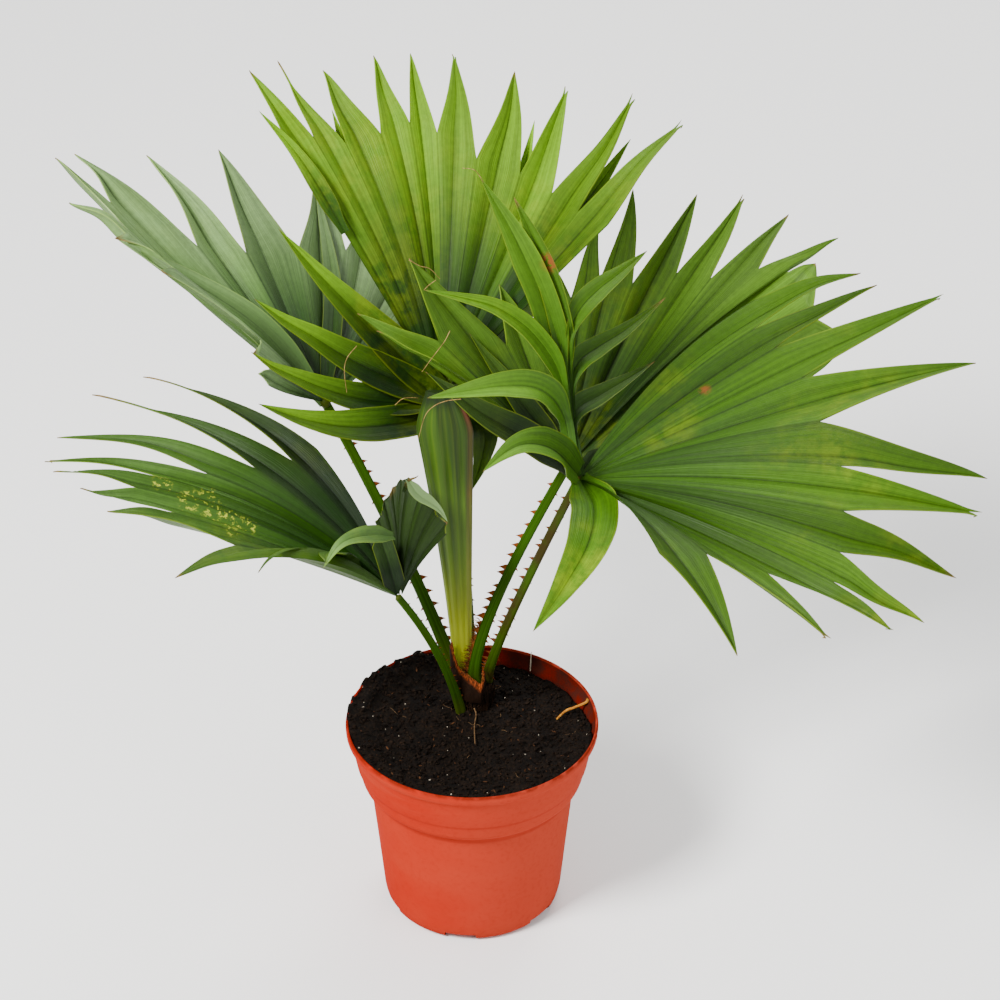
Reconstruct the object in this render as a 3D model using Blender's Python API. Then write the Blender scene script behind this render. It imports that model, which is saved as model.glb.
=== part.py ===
"""Potted footstool palm: a young fan palm with spiny leaf stalks in a round nursery pot.

Metres, +Z up. The origin is the middle of the pot's flat underside. -Y is the front of the plant.
Each fan leaf is a pleated blade that opens round its hub, the point where its stalk ends. The blade is
worked out from a few named ribs: the direction and reach of some of its segments, from one edge of the
fan to the other, with every segment between them taken from a smooth curve.
"""

import math
import random

import bmesh
import bpy
from mathutils import Matrix, Vector
from mathutils.bvhtree import BVHTree

CLEARANCE = 0.0003  # between pieces that touch

# Pot
POT_HEIGHT = 0.112
RIM_RADIUS = 0.0657
RIM_LIP_HEIGHT = 0.009
RIM_LIP_STEP = 0.0028
COLLAR_HEIGHT = 0.036
COLLAR_TAPER = 0.0055
COLLAR_STEP = 0.0035
FOOT_RADIUS = 0.0461
FOOT_ROUND = 0.006
INNER_FOOT_ROUND = 0.002
WALL = 0.0015
FLOOR = 0.0026
POT_SIDES = 48
NOTCH_COUNT = 6
NOTCH_WIDTH = 0.019
NOTCH_HEIGHT = 0.0014
NOTCH_FIRST = math.radians(-98)
DRAIN_RADIUS = 0.0035
DRAIN_CIRCLE = 0.027

# Soil and crown base
SOIL_TOP = 0.103
SOIL_GAP = 0.00045  # level, from the pot's wall; less across its slopes
CROWN_CENTRE = Vector((0.0010, 0.0270))
CROWN_RADIUS = 0.0105
CROWN_HEIGHT = 0.0125
CROWN_TOP = SOIL_TOP + CLEARANCE + CROWN_HEIGHT

# Blades
BLADE_THICKNESS = 0.0021
FOLD = 0.34  # rise of a segment's edges over its midrib, as a share of its half width
SHEET_ROWS = (0.36, 0.70, 1.0)  # rows of the joined part, as shares of the radius where segments part
TONGUE_ROWS = (0.28, 0.55, 0.80)  # rows of a free segment, as shares of its free length
TAPER_POWER = 1.5
SPREAD_LIMIT = 0.24  # largest half width of a segment for each metre from the hub
EARLY_SPLIT = 0.85  # a segment whose neighbour parts nearer the hub than this share gets its own edge

# Stalks
STALK_SIDES = 8
STALK_RINGS = 11
STALK_FOOT = (0.0037, 0.0027)  # half widths across and through
STALK_TIP = (0.0025, 0.0019)
SEAT_STEP = 0.0001  # by which a stalk's end backs off from its blade until it stands clear
SPINE_LENGTH = 0.0036
SPINE_FOOT = 0.0013
SPINE_SINK = 0.0012
SPINE_SPACING = 0.0105

# One fan blade: its hub, how far its middle arches, and its ribs as (segment, azimuth in degrees,
# elevation in degrees, reach in metres, share of the reach where it parts from its neighbours).
LEAVES = {
    "leaf_right_front": {
        "hub": (0.0526, -0.0200, 0.2744),
        "arch": 0.05,
        "ribs": (
            (0, 43, 19, 0.171, 0.72),
            (1, 32, 17, 0.187, 0.70),
            (2, 23, 17, 0.206, 0.65),
            (3, 12, 12, 0.204, 0.60),
            (4, -5, 3, 0.197, 0.61),
            (5, -11, 2, 0.195, 0.65),
            (6, -21, -3, 0.190, 0.70),
            (7, -30, -6, 0.186, 0.74),
            (8, -35, -5, 0.178, 0.74),
            (9, -44, -5, 0.161, 0.66),
            (10, -60, -6, 0.144, 0.58),
            (10.5, -68, -6, 0.130, 0.50),
            (11, -102, -7, 0.109, 0.36),
            (12, -127, 32, 0.088, 0.42),
        ),
    },
    "lobe_right_front": {
        "hub": (0.0476, -0.0020, 0.3104),
        "arch": 0.09,
        "ribs": (
            (0, 286, -62, 0.0388, 0.50),
            (1, -148, 20, 0.083, 0.45),
            (2, -172, 44, 0.094, 0.40),
            (3, 135, 59, 0.116, 0.45),
            (4, 59, 30, 0.090, 0.45),
            (5, 52, 14, 0.081, 0.45),
            (6, 48, -6, 0.067, 0.45),
        ),
    },
    "leaf_right_back": {
        "hub": (0.0482, 0.0450, 0.2384),
        "arch": 0.03,
        "ribs": (
            (0, -173, 43, 0.130, 0.70),
            (1, -178, 42, 0.140, 0.70),
            (2, 166, 54, 0.138, 0.70),
            (4, 101, 61, 0.137, 0.70),
            (5, 78, 55, 0.131, 0.70),
            (6, 71, 45, 0.151, 0.72),
            (8, 53, 29, 0.181, 0.76),
            (10, 37, 22, 0.196, 0.82),
            (12, 27, 10, 0.170, 0.75),
            (14, 30, -13, 0.104, 0.60),
        ),
    },
    "leaf_centre": {
        "hub": (-0.0160, 0.0650, 0.2691),
        "arch": 0.03,
        "ribs": (
            (0, -131, 6, 0.081, 0.80),
            (1, -145, 18, 0.112, 0.60),
            (3, -167, 37, 0.115, 0.60),
            (4, 174, 49, 0.122, 0.70),
            (5, 145, 53, 0.190, 0.70),
            (7, 123, 51, 0.177, 0.70),
            (9, 98, 48, 0.181, 0.78),
            (11, 72, 45, 0.176, 0.71),
            (12, 62, 39, 0.179, 0.68),
            (13, 52, 32, 0.195, 0.62),
            (14, 46, 26, 0.203, 0.60),
        ),
    },
    "leaf_left_back": {
        "hub": (-0.0747, 0.0650, 0.2655),
        "arch": 0.04,
        "ribs": (
            (0, -127, 36, 0.058, 0.70),
            (2, -165, 48, 0.108, 0.70),
            (4, 172, 40, 0.165, 0.70),
            (5, 159, 38, 0.183, 0.70),
            (6, 151, 36, 0.179, 0.68),
            (7, 130, 28, 0.170, 0.66),
            (8, 113, 24, 0.170, 0.67),
            (9, 94, 17, 0.161, 0.68),
            (12, 66, -4, 0.126, 0.70),
        ),
    },
    "leaf_left_front": {
        "hub": (-0.0369, -0.0050, 0.1934),
        "arch": 0.12,
        "ribs": (
            (0, -137, 40, 0.063, 0.60),
            (1, -140, 32, 0.100, 0.75),
            (2, -150, 24, 0.132, 0.70),
            (3, -170, 26, 0.159, 0.72),
            (5, 175, 21, 0.184, 0.70),
            (7, 151, 20, 0.193, 0.52),
            (8, 140, 19, 0.187, 0.50),
            (9, 126, 17, 0.156, 0.60),
        ),
    },
    "lobe_left_front": {
        "hub": (-0.0344, -0.0050, 0.2003),
        "arch": 0.10,
        "ribs": (
            (0, 101, 31, 0.050, 0.85),
            (1, 90, 46, 0.057, 0.85),
            (2, 60, 64, 0.055, 0.80),
            (3, -14, 63, 0.051, 0.80),
        ),
    },
}

# One stalk: its leaf, the foot's place round the crown base, and how far its middle bows out.
STALKS = {
    "stalk_right_front": ("leaf_right_front", (0.0076, -0.0030), (-0.001, 0.002, 0.0)),
    "stalk_right_back": ("leaf_right_back", (0.0012, -0.0066), (-0.003, -0.006, 0.004)),
    "stalk_centre": ("leaf_centre", (-0.0010, 0.0066), (0.006, 0.0, 0.0)),
    "stalk_left_back": ("leaf_left_back", (-0.0084, 0.0044), (0.004, 0.0, 0.0)),
    "stalk_left_front": ("leaf_left_front", (-0.0065, -0.0135), (0.004, 0.0, 0.002)),
}
LOW_STALK = "stalk_left_front"  # the oldest stalk, rising beside the crown base

# Folded young leaf that stands in the middle
SPEAR_FOOT = Vector((-0.0052, 0.0240, CROWN_TOP + CLEARANCE))
SPEAR_TOP = Vector((-0.0150, 0.0230, 0.2780))
SPEAR_BOW = Vector((-0.0010, 0.0, 0.0))
SPEAR_PLEATS = 9
SPEAR_RINGS = 8
SPEAR_FOOT_HALF = (0.0026, 0.0022)
SPEAR_TOP_HALF = (0.0095, 0.0030)

MATERIALS = {
    "pot": ((0.640, 0.110, 0.055), 0.48),
    "soil": ((0.030, 0.019, 0.014), 0.95),
    "crown_base": ((0.150, 0.060, 0.028), 0.90),
    "stalk": ((0.070, 0.150, 0.025), 0.45),
    "blade": ((0.085, 0.210, 0.022), 0.40),
    "spear": ((0.150, 0.260, 0.030), 0.42),
}


def clear_scene():
    for obj in list(bpy.data.objects):
        bpy.data.objects.remove(obj, do_unlink=True)


def material(kind):
    """One Principled material for a kind of surface, made once."""
    found = bpy.data.materials.get(kind)
    if found:
        return found
    colour, roughness = MATERIALS[kind]
    made = bpy.data.materials.new(kind)
    made.use_nodes = True
    shader = made.node_tree.nodes["Principled BSDF"]
    shader.inputs["Base Color"].default_value = (*colour, 1.0)
    shader.inputs["Roughness"].default_value = roughness
    shader.inputs["Metallic"].default_value = 0.0
    return made


def add_object(name, bm, kind, smooth_below=35.0):
    """The finished mesh as a named object with its material."""
    bmesh.ops.recalc_face_normals(bm, faces=bm.faces)
    mesh = bpy.data.meshes.new(name)
    bm.to_mesh(mesh)
    bm.free()
    mesh.shade_smooth()
    mesh.set_sharp_from_angle(angle=math.radians(smooth_below))
    obj = bpy.data.objects.new(name, mesh)
    bpy.context.scene.collection.objects.link(obj)
    mesh.materials.append(material(kind))
    return obj


def turned(profile, sides):
    """A solid of revolution about Z. A profile point on the axis becomes one vertex."""
    bm = bmesh.new()
    rings = []
    for radius, height in profile:
        if radius < 1e-9:
            rings.append([bm.verts.new((0.0, 0.0, height))])
            continue
        angles = (2 * math.pi * k / sides for k in range(sides))
        rings.append([bm.verts.new((radius * math.cos(a), radius * math.sin(a), height)) for a in angles])
    for lower, upper in zip(rings, rings[1:]):
        for k in range(sides):
            corners = [lower[k % len(lower)], lower[(k + 1) % len(lower)]]
            corners += [upper[(k + 1) % len(upper)], upper[k % len(upper)]]
            unique = list(dict.fromkeys(corners))
            bm.faces.new(unique)
    return bm


def box_cutter(name, size, place, turn):
    bm = bmesh.new()
    bmesh.ops.create_cube(bm, size=1.0, matrix=Matrix.Diagonal((*size, 1.0)))
    bmesh.ops.transform(bm, matrix=Matrix.Translation(place) @ Matrix.Rotation(turn, 4, "Z"), verts=bm.verts)
    return add_object(name, bm, "pot")


def round_cutter(name, radius, height, place):
    bm = bmesh.new()
    bmesh.ops.create_cone(
        bm, cap_ends=True, segments=12, radius1=radius, radius2=radius, depth=height,
        matrix=Matrix.Translation(place),
    )
    return add_object(name, bm, "pot")


def join_by_boolean(obj, others, operation):
    """Applies one EXACT Boolean on a collection of the other objects, then removes them."""
    group = bpy.data.collections.new(obj.name + "_tools")
    for other in others:
        group.objects.link(other)
    modifier = obj.modifiers.new("tools", "BOOLEAN")
    modifier.operation = operation
    modifier.operand_type = "COLLECTION"
    modifier.collection = group
    modifier.solver = "EXACT"
    graph = bpy.context.evaluated_depsgraph_get()
    made = bpy.data.meshes.new_from_object(obj.evaluated_get(graph))
    obj.modifiers.remove(modifier)
    old = obj.data
    obj.data = made
    bpy.data.meshes.remove(old)
    for other in others:
        bpy.data.objects.remove(other, do_unlink=True)
    bpy.data.collections.remove(group)


def pot_outer_radius(height):
    """The body's outer radius below the collar, tapering to the foot."""
    body_top = POT_HEIGHT - COLLAR_HEIGHT
    top_radius = RIM_RADIUS - RIM_LIP_STEP - COLLAR_TAPER - COLLAR_STEP
    return FOOT_RADIUS + (top_radius - FOOT_RADIUS) * height / body_top


def pot_profile():
    """Outer side from the foot up, over the rim, and down the inner side to the floor."""
    lip_bottom = POT_HEIGHT - RIM_LIP_HEIGHT
    collar_bottom = POT_HEIGHT - COLLAR_HEIGHT
    collar_top_radius = RIM_RADIUS - RIM_LIP_STEP
    collar_bottom_radius = collar_top_radius - COLLAR_TAPER
    body_top_radius = collar_bottom_radius - COLLAR_STEP
    outer = [
        (0.0, 0.0),
        (FOOT_RADIUS - FOOT_ROUND, 0.0),
        (pot_outer_radius(FOOT_ROUND * 0.3) - FOOT_ROUND * 0.3, FOOT_ROUND * 0.3),
        (pot_outer_radius(FOOT_ROUND), FOOT_ROUND),
        (body_top_radius, collar_bottom - 0.003),
        (collar_bottom_radius, collar_bottom),
        (collar_top_radius, lip_bottom),
        (RIM_RADIUS - 0.0003, lip_bottom + 0.001),
        (RIM_RADIUS, POT_HEIGHT - 0.0009),
        (RIM_RADIUS - 0.0009, POT_HEIGHT),
    ]
    inner = [
        (RIM_RADIUS - WALL, POT_HEIGHT),
        (RIM_RADIUS - RIM_LIP_STEP - WALL, POT_HEIGHT - RIM_LIP_HEIGHT * 0.6),
        (collar_bottom_radius - WALL, collar_bottom),
        (body_top_radius - WALL, collar_bottom - 0.003),
        (pot_outer_radius(FLOOR) - WALL - INNER_FOOT_ROUND, FLOOR),
        (0.0, FLOOR),
    ]
    return outer + inner


def build_pot():
    pot = add_object("pot", turned(pot_profile(), POT_SIDES), "pot")
    cutters = []
    for k in range(NOTCH_COUNT):
        angle = NOTCH_FIRST + 2 * math.pi * k / NOTCH_COUNT
        reach = FOOT_RADIUS + 0.002
        place = (reach * math.cos(angle), reach * math.sin(angle), NOTCH_HEIGHT / 2 - 0.002)
        size = (0.018, NOTCH_WIDTH, NOTCH_HEIGHT + 0.004)
        cutters.append(box_cutter(f"notch_{k}", size, place, angle))
        drain = angle + math.pi / NOTCH_COUNT
        place = (DRAIN_CIRCLE * math.cos(drain), DRAIN_CIRCLE * math.sin(drain), FLOOR / 2)
        cutters.append(round_cutter(f"drain_{k}", DRAIN_RADIUS, FLOOR * 4, place))
    join_by_boolean(pot, cutters, "DIFFERENCE")
    return pot


def build_soil():
    """The peat inside the pot, up to a little below the rim."""
    inner = [(radius, height) for radius, height in pot_profile()[11:15]]
    wall = [(radius - SOIL_GAP, height) for radius, height in inner if height < SOIL_TOP]
    floor_radius, floor_height = wall.pop()
    lip_radius = inner[0][0]
    collar_radius, collar_height = wall[0]
    share = (SOIL_TOP - collar_height) / (inner[0][1] - collar_height)
    top_radius = collar_radius + (lip_radius - SOIL_GAP - collar_radius) * share
    floor_radius -= SOIL_GAP
    profile = [(0.0, floor_height + CLEARANCE), (floor_radius, floor_height + CLEARANCE)]
    profile += list(reversed(wall))
    profile += [(top_radius - 0.0006, SOIL_TOP - 0.002), (top_radius - 0.003, SOIL_TOP), (0.0, SOIL_TOP)]
    return add_object("soil", turned(profile, POT_SIDES), "soil")


def build_crown_base():
    """The short fibrous stem that the stalks rise from, flat on top and at the soil."""
    dice = random.Random(4)
    bm = bmesh.new()
    sides = 18
    bottom = SOIL_TOP + CLEARANCE
    levels = ((0.0, 0.93), (0.30, 1.0), (0.70, 0.98), (1.0, 0.90))
    rings = []
    for share, swell in levels:
        ring = []
        for k in range(sides):
            angle = 2 * math.pi * k / sides
            radius = CROWN_RADIUS * swell * (1 + 0.05 * math.cos(3 * angle + 1) + dice.uniform(-0.02, 0.02))
            x = CROWN_CENTRE.x + radius * math.cos(angle)
            y = CROWN_CENTRE.y + radius * math.sin(angle)
            ring.append(bm.verts.new((x, y, bottom + CROWN_HEIGHT * share)))
        rings.append(ring)
    for lower, upper in zip(rings, rings[1:]):
        for k in range(sides):
            bm.faces.new((lower[k], lower[(k + 1) % sides], upper[(k + 1) % sides], upper[k]))
    bm.faces.new(rings[0])
    bm.faces.new(rings[-1])
    return add_object("crown_base", bm, "crown_base")


class Ribs:
    """Directions and reaches of a fan's segments, smooth between the named ribs."""

    def __init__(self, ribs):
        self.marks = [rib[0] for rib in ribs]
        self.values = []
        for _, azimuth, elevation, reach, part in ribs:
            a, e = math.radians(azimuth), math.radians(elevation)
            unit = (math.cos(e) * math.cos(a), math.cos(e) * math.sin(a), math.sin(e))
            self.values.append(Vector((*unit, reach, part)))
        self.segments = self.marks[-1] + 1

    def slope(self, k):
        low, high = max(k - 1, 0), min(k + 1, len(self.marks) - 1)
        return (self.values[high] - self.values[low]) / (self.marks[high] - self.marks[low])

    def at(self, mark):
        """Unit direction, reach and parting share at a place along the fan, counted in segments."""
        last = len(self.marks) - 1
        if mark <= self.marks[0]:
            value = self.values[0] + (mark - self.marks[0]) * self.slope(0)
        elif mark >= self.marks[last]:
            value = self.values[last] + (mark - self.marks[last]) * self.slope(last)
        else:
            k = next(i for i in range(last) if self.marks[i + 1] > mark)
            width = self.marks[k + 1] - self.marks[k]
            t = (mark - self.marks[k]) / width
            start, end = self.values[k], self.values[k + 1]
            value = start * (2 * t**3 - 3 * t**2 + 1) + end * (3 * t**2 - 2 * t**3)
            value += self.slope(k) * width * (t**3 - 2 * t**2 + t) + self.slope(k + 1) * width * (t**3 - t**2)
        return value.to_3d().normalized(), value[3], value[4]

    def normal(self, mark, step=0.35):
        """The blade's upper side at that place."""
        ahead, behind = self.at(mark + step)[0], self.at(mark - step)[0]
        return (ahead - behind).cross(self.at(mark)[0]).normalized()


class Fan:
    """A pleated fan blade: points on its middle surface and the direction of its upper side."""

    def __init__(self, leaf):
        self.hub = Vector(leaf["hub"])
        self.arch = leaf["arch"]
        self.ribs = Ribs(leaf["ribs"])
        middle = self.ribs.normal((self.ribs.segments - 1) / 2)
        self.side = 1.0 if middle.z > 0 else -1.0

    def normal(self, mark):
        return self.ribs.normal(mark) * self.side

    def surface(self, mark, share):
        """The point at a share of the reach from the hub, with the blade's arch."""
        direction, reach, _ = self.ribs.at(mark)
        lift = self.arch * 4 * share * (1 - share) * reach
        return self.hub + direction * (share * reach) + self.normal(mark) * lift

    def hub_normal(self):
        total = Vector()
        for k in range(self.ribs.segments):
            total += self.normal(k)
        return total.normalized()

    def edge_point(self, boundary, row):
        """Where two segments meet on a row of the joined part, raised by the fold."""
        mark = boundary - 0.5
        reach_here = self.ribs.at(mark)[1]
        distance = row * self.parting(boundary)
        place = self.surface(mark, distance / reach_here)
        ribs = [self.surface(k, distance / self.ribs.at(k)[1]) for k in self.neighbours(boundary)]
        return place + self.normal(mark) * FOLD * min((place - rib).length for rib in ribs)

    def neighbours(self, boundary):
        return [k for k in (boundary - 1, boundary) if 0 <= k < self.ribs.segments]

    def parting(self, boundary):
        """The distance from the hub at which the segments on both sides of a boundary part."""
        return min(math.prod(self.ribs.at(k)[1:]) for k in self.neighbours(boundary))

    def spread(self, k):
        """Half a segment's width for each metre from the hub, from the angle to its nearer neighbour."""
        direction = self.ribs.at(k)[0]
        near = [self.ribs.at(i)[0] for i in (k - 1, k + 1) if 0 <= i < self.ribs.segments]
        return min(SPREAD_LIMIT, math.tan(min(direction.angle(other) for other in near) / 2))

    def free_edge(self, k, side, free):
        """A point on the free part of a segment's edge. Side is -1 or 1, towards the next segment."""
        direction, reach, part = self.ribs.at(k)
        boundary = k if side < 0 else k + 1
        if free == TONGUE_ROWS[0] and self.parting(boundary) < EARLY_SPLIT * part * reach:
            free = 0.0
        width = self.spread(k) * part * reach * (1 - free**TAPER_POWER)
        across = direction.cross(self.ribs.normal(k)).normalized() * side
        return self.surface(k, part + (1 - part) * free) + (across + self.normal(k) * FOLD) * width


def blade_mesh(leaf):
    """A closed thin solid: the joined sheet round the hub and the free pointed segments."""
    fan = Fan(leaf)
    bm = bmesh.new()
    half = BLADE_THICKNESS / 2

    def pair(place, normal):
        return bm.verts.new(place + normal * half), bm.verts.new(place - normal * half)

    def quad(a, b, c, d):
        """Upper and lower face between four vertex pairs, given in order."""
        for level in (0, 1):
            corners = list(dict.fromkeys(p[level] for p in (a, b, c, d)))
            bm.faces.new(corners if level == 0 else corners[::-1])

    def wall(a, b):
        bm.faces.new((a[0], b[0], b[1], a[1]))

    hub = pair(fan.hub, fan.hub_normal())
    count = fan.ribs.segments
    edges = [
        [hub] + [pair(fan.edge_point(j, row), fan.normal(j - 0.5)) for row in SHEET_ROWS]
        for j in range(count + 1)
    ]
    for k in range(count):
        normal = fan.normal(k)
        part = fan.ribs.at(k)[2]
        middle = [hub] + [pair(fan.surface(k, part * row), normal) for row in SHEET_ROWS]
        for row in range(len(SHEET_ROWS)):
            for side in (edges[k], edges[k + 1]):
                quad(middle[row], side[row], side[row + 1], middle[row + 1])
        rows = [(edges[k][-1], middle[-1], edges[k + 1][-1])]
        for free in TONGUE_ROWS:
            place = fan.surface(k, part + (1 - part) * free)
            sides = [pair(fan.free_edge(k, side, free), normal) for side in (-1, 1)]
            rows.append((sides[0], pair(place, normal), sides[1]))
        tip = pair(fan.surface(k, 1.0), normal)
        rows.append((tip, tip, tip))
        for low, high in zip(rows, rows[1:]):
            quad(low[1], low[0], high[0], high[1])
            quad(low[1], low[2], high[2], high[1])
            wall(low[0], high[0])
            wall(low[2], high[2])
    for edge in (edges[0], edges[-1]):
        for row in range(len(SHEET_ROWS)):
            wall(edge[row], edge[row + 1])
    return bm


def build_blade(name):
    return add_object(name, blade_mesh(LEAVES[name]), "blade")


def bezier(start, bend, end, t):
    return start * (1 - t) ** 2 + bend * (2 * t * (1 - t)) + end * t**2


class Stalk:
    """The curve and section of a leaf stalk, from the crown base to just under its blade's hub."""

    def __init__(self, name):
        leaf_name, foot, bow = STALKS[name]
        fan = Fan(LEAVES[leaf_name])
        low = name == LOW_STALK
        foot_height = SOIL_TOP + CLEARANCE if low else CROWN_TOP + CLEARANCE
        self.foot = Vector((CROWN_CENTRE.x + foot[0], CROWN_CENTRE.y + foot[1], foot_height))
        self.bend = (self.foot + fan.hub) / 2 + Vector(bow) * 2
        self.outward = Vector((fan.hub.x - self.foot.x, fan.hub.y - self.foot.y, 0.0)).normalized()
        arrival = (fan.hub - self.bend).normalized()
        blade = blade_mesh(LEAVES[leaf_name])
        bmesh.ops.recalc_face_normals(blade, faces=blade.faces)
        tree = BVHTree.FromBMesh(blade)
        blade.free()
        drop = BLADE_THICKNESS / 2
        self.top = fan.hub - arrival * drop
        while not self.stands_clear(tree):
            drop += SEAT_STEP
            self.top = fan.hub - arrival * drop

    def stands_clear(self, tree):
        """Whether the stalk's end stands a clearance outside the blade."""
        for t in (1.0, 0.99, 0.97, 0.94):
            for corner in (*self.ring(t), self.point(t)):
                nearest, normal, _, distance = tree.find_nearest(corner)
                inside = distance < BLADE_THICKNESS / 2 and (corner - nearest).dot(normal) < 0
                if distance < CLEARANCE or inside:
                    return False
        return True

    def ring(self, t):
        """The corners of the stalk's section at a place on it."""
        place = self.point(t)
        _, across, through = self.axes(t)
        wide, deep = self.half_widths(t)
        angles = (2 * math.pi * (side + 0.5) / STALK_SIDES for side in range(STALK_SIDES))
        return [place + across * (wide * math.cos(a)) + through * (deep * math.sin(a)) for a in angles]

    def point(self, t):
        return bezier(self.foot, self.bend, self.top, t)

    def axes(self, t):
        """Across and through directions at a place on the stalk."""
        along = (self.point(min(t + 0.01, 1)) - self.point(max(t - 0.01, 0))).normalized()
        across = along.cross(self.outward).normalized()
        return along, across, across.cross(along).normalized()

    def half_widths(self, t):
        swell = (1 - t) ** 3
        return [tip + (foot - tip) * (0.45 * (1 - t) + 0.55 * swell) for foot, tip in zip(STALK_FOOT, STALK_TIP)]


def stalk_mesh(stalk):
    """A tapering stalk of oval section, cut level at its foot."""
    bm = bmesh.new()
    rings = []
    for k in range(STALK_RINGS):
        t = k / (STALK_RINGS - 1)
        ring = []
        for corner in stalk.ring(t):
            if k == 0:
                corner.z = stalk.foot.z
            ring.append(bm.verts.new(corner))
        rings.append(ring)
    for lower, upper in zip(rings, rings[1:]):
        for side in range(STALK_SIDES):
            after = (side + 1) % STALK_SIDES
            bm.faces.new((lower[side], lower[after], upper[after], upper[side]))
    bm.faces.new(rings[0])
    bm.faces.new(rings[-1])
    return bm


def spine_mesh(root, point, width_axis):
    """A hooked spine as a slim three-sided cone, its root sunk in the stalk."""
    bm = bmesh.new()
    along = (point - root).normalized()
    third = along.cross(width_axis).normalized()
    corners = []
    for k in range(3):
        angle = 2 * math.pi * k / 3
        offset = width_axis * (SPINE_FOOT * math.cos(angle)) + third * (SPINE_FOOT * 0.7 * math.sin(angle))
        corners.append(bm.verts.new(root + offset))
    apex = bm.verts.new(point)
    bm.faces.new(corners)
    for k in range(3):
        bm.faces.new((corners[k], corners[(k + 1) % 3], apex))
    return bm


def spines_of(stalk):
    """Root and point of each spine, in turn along both edges, pointing out and down."""
    length = (stalk.top - stalk.foot).length
    count = int(length * 0.86 / SPINE_SPACING)
    found = []
    for k in range(count):
        t = 0.12 + 0.80 * k / count
        along, across, _ = stalk.axes(t)
        wide = stalk.half_widths(t)[0]
        for side in (-1, 1):
            if side == 1 and k % 2:
                continue
            outward = across * side
            root = stalk.point(t) + outward * (wide - SPINE_SINK)
            size = SPINE_LENGTH * (1.0 - 0.35 * t)
            point = root + outward * (SPINE_SINK + size * 0.8) - along * size * 0.55
            found.append((root, point, along))
    return found


def build_stalk(name):
    stalk = Stalk(name)
    body = add_object(name, stalk_mesh(stalk), "stalk")
    spines = [
        add_object(f"{name}_spine_{k}", spine_mesh(*spine), "stalk") for k, spine in enumerate(spines_of(stalk))
    ]
    join_by_boolean(body, spines, "UNION")
    return body


def build_spear():
    """The folded young leaf: a flat bundle of pleats that widens upwards and ends in a blunt wedge."""
    bm = bmesh.new()
    sides = SPEAR_PLEATS * 2
    rings = []
    for k in range(SPEAR_RINGS + 1):
        t = k / SPEAR_RINGS
        place = SPEAR_FOOT.lerp(SPEAR_TOP, t) + SPEAR_BOW * 4 * t * (1 - t)
        wide = SPEAR_FOOT_HALF[0] + (SPEAR_TOP_HALF[0] - SPEAR_FOOT_HALF[0]) * t**0.9
        deep = SPEAR_FOOT_HALF[1] + (SPEAR_TOP_HALF[1] - SPEAR_FOOT_HALF[1]) * t
        depth = 0.30 * min(1.0, t * 3)
        ring = []
        for side in range(sides):
            angle = 2 * math.pi * side / sides
            pleat = 1 - depth * (side % 2)
            ring.append(bm.verts.new(place + Vector((wide * math.cos(angle), deep * pleat * math.sin(angle), 0.0))))
        rings.append(ring)
    top = [bm.verts.new(v.co.lerp(SPEAR_TOP, 0.45) + Vector((0.0, 0.0, 0.007))) for v in rings[-1]]
    rings.append(top)
    for lower, upper in zip(rings, rings[1:]):
        for side in range(sides):
            after = (side + 1) % sides
            bm.faces.new((lower[side], lower[after], upper[after], upper[side]))
    bm.faces.new(rings[0])
    bm.faces.new(rings[-1])
    return add_object("spear_leaf", bm, "spear", smooth_below=20.0)


def main():
    clear_scene()
    build_pot()
    build_soil()
    build_crown_base()
    for name in LEAVES:
        build_blade(name)
    for name in STALKS:
        build_stalk(name)
    build_spear()


main()
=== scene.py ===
"""Dresses the potted footstool palm: fine pleated leaves, spiny stalks, peat and a moulded pot.

Metres, +Z up, the pot's underside at z = 0 and the front of the plant towards -Y. Every piece is made in
place round the CAD nodes that it stands for, and one small stage holds the floor, the lights and the camera.
"""

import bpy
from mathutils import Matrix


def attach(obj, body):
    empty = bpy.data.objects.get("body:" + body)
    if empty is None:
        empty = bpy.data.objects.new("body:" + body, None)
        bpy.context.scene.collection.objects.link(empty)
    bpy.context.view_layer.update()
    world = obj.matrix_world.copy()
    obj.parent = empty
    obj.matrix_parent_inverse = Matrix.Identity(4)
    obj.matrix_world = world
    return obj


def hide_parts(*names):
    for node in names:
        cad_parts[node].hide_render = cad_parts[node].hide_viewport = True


bl_info = {
    "name": "Potted footstool palm",
    "version": (1, 0, 0),
    "blender": (4, 5, 0),
    "location": "3D View > Sidebar > Palm",
    "description": "Builds the visible pieces of a potted fan palm round its CAD frame",
    "category": "Add Mesh",
}

import bisect
import math
import random
import typing

import bmesh
import bpy
from mathutils import Matrix, Vector, noise

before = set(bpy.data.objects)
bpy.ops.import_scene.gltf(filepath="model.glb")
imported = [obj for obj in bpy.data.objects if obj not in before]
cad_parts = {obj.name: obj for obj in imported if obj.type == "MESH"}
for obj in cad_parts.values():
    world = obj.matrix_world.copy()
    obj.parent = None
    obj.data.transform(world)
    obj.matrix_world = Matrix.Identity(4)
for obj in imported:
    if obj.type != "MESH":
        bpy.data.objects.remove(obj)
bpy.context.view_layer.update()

BODY = "root"

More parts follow.
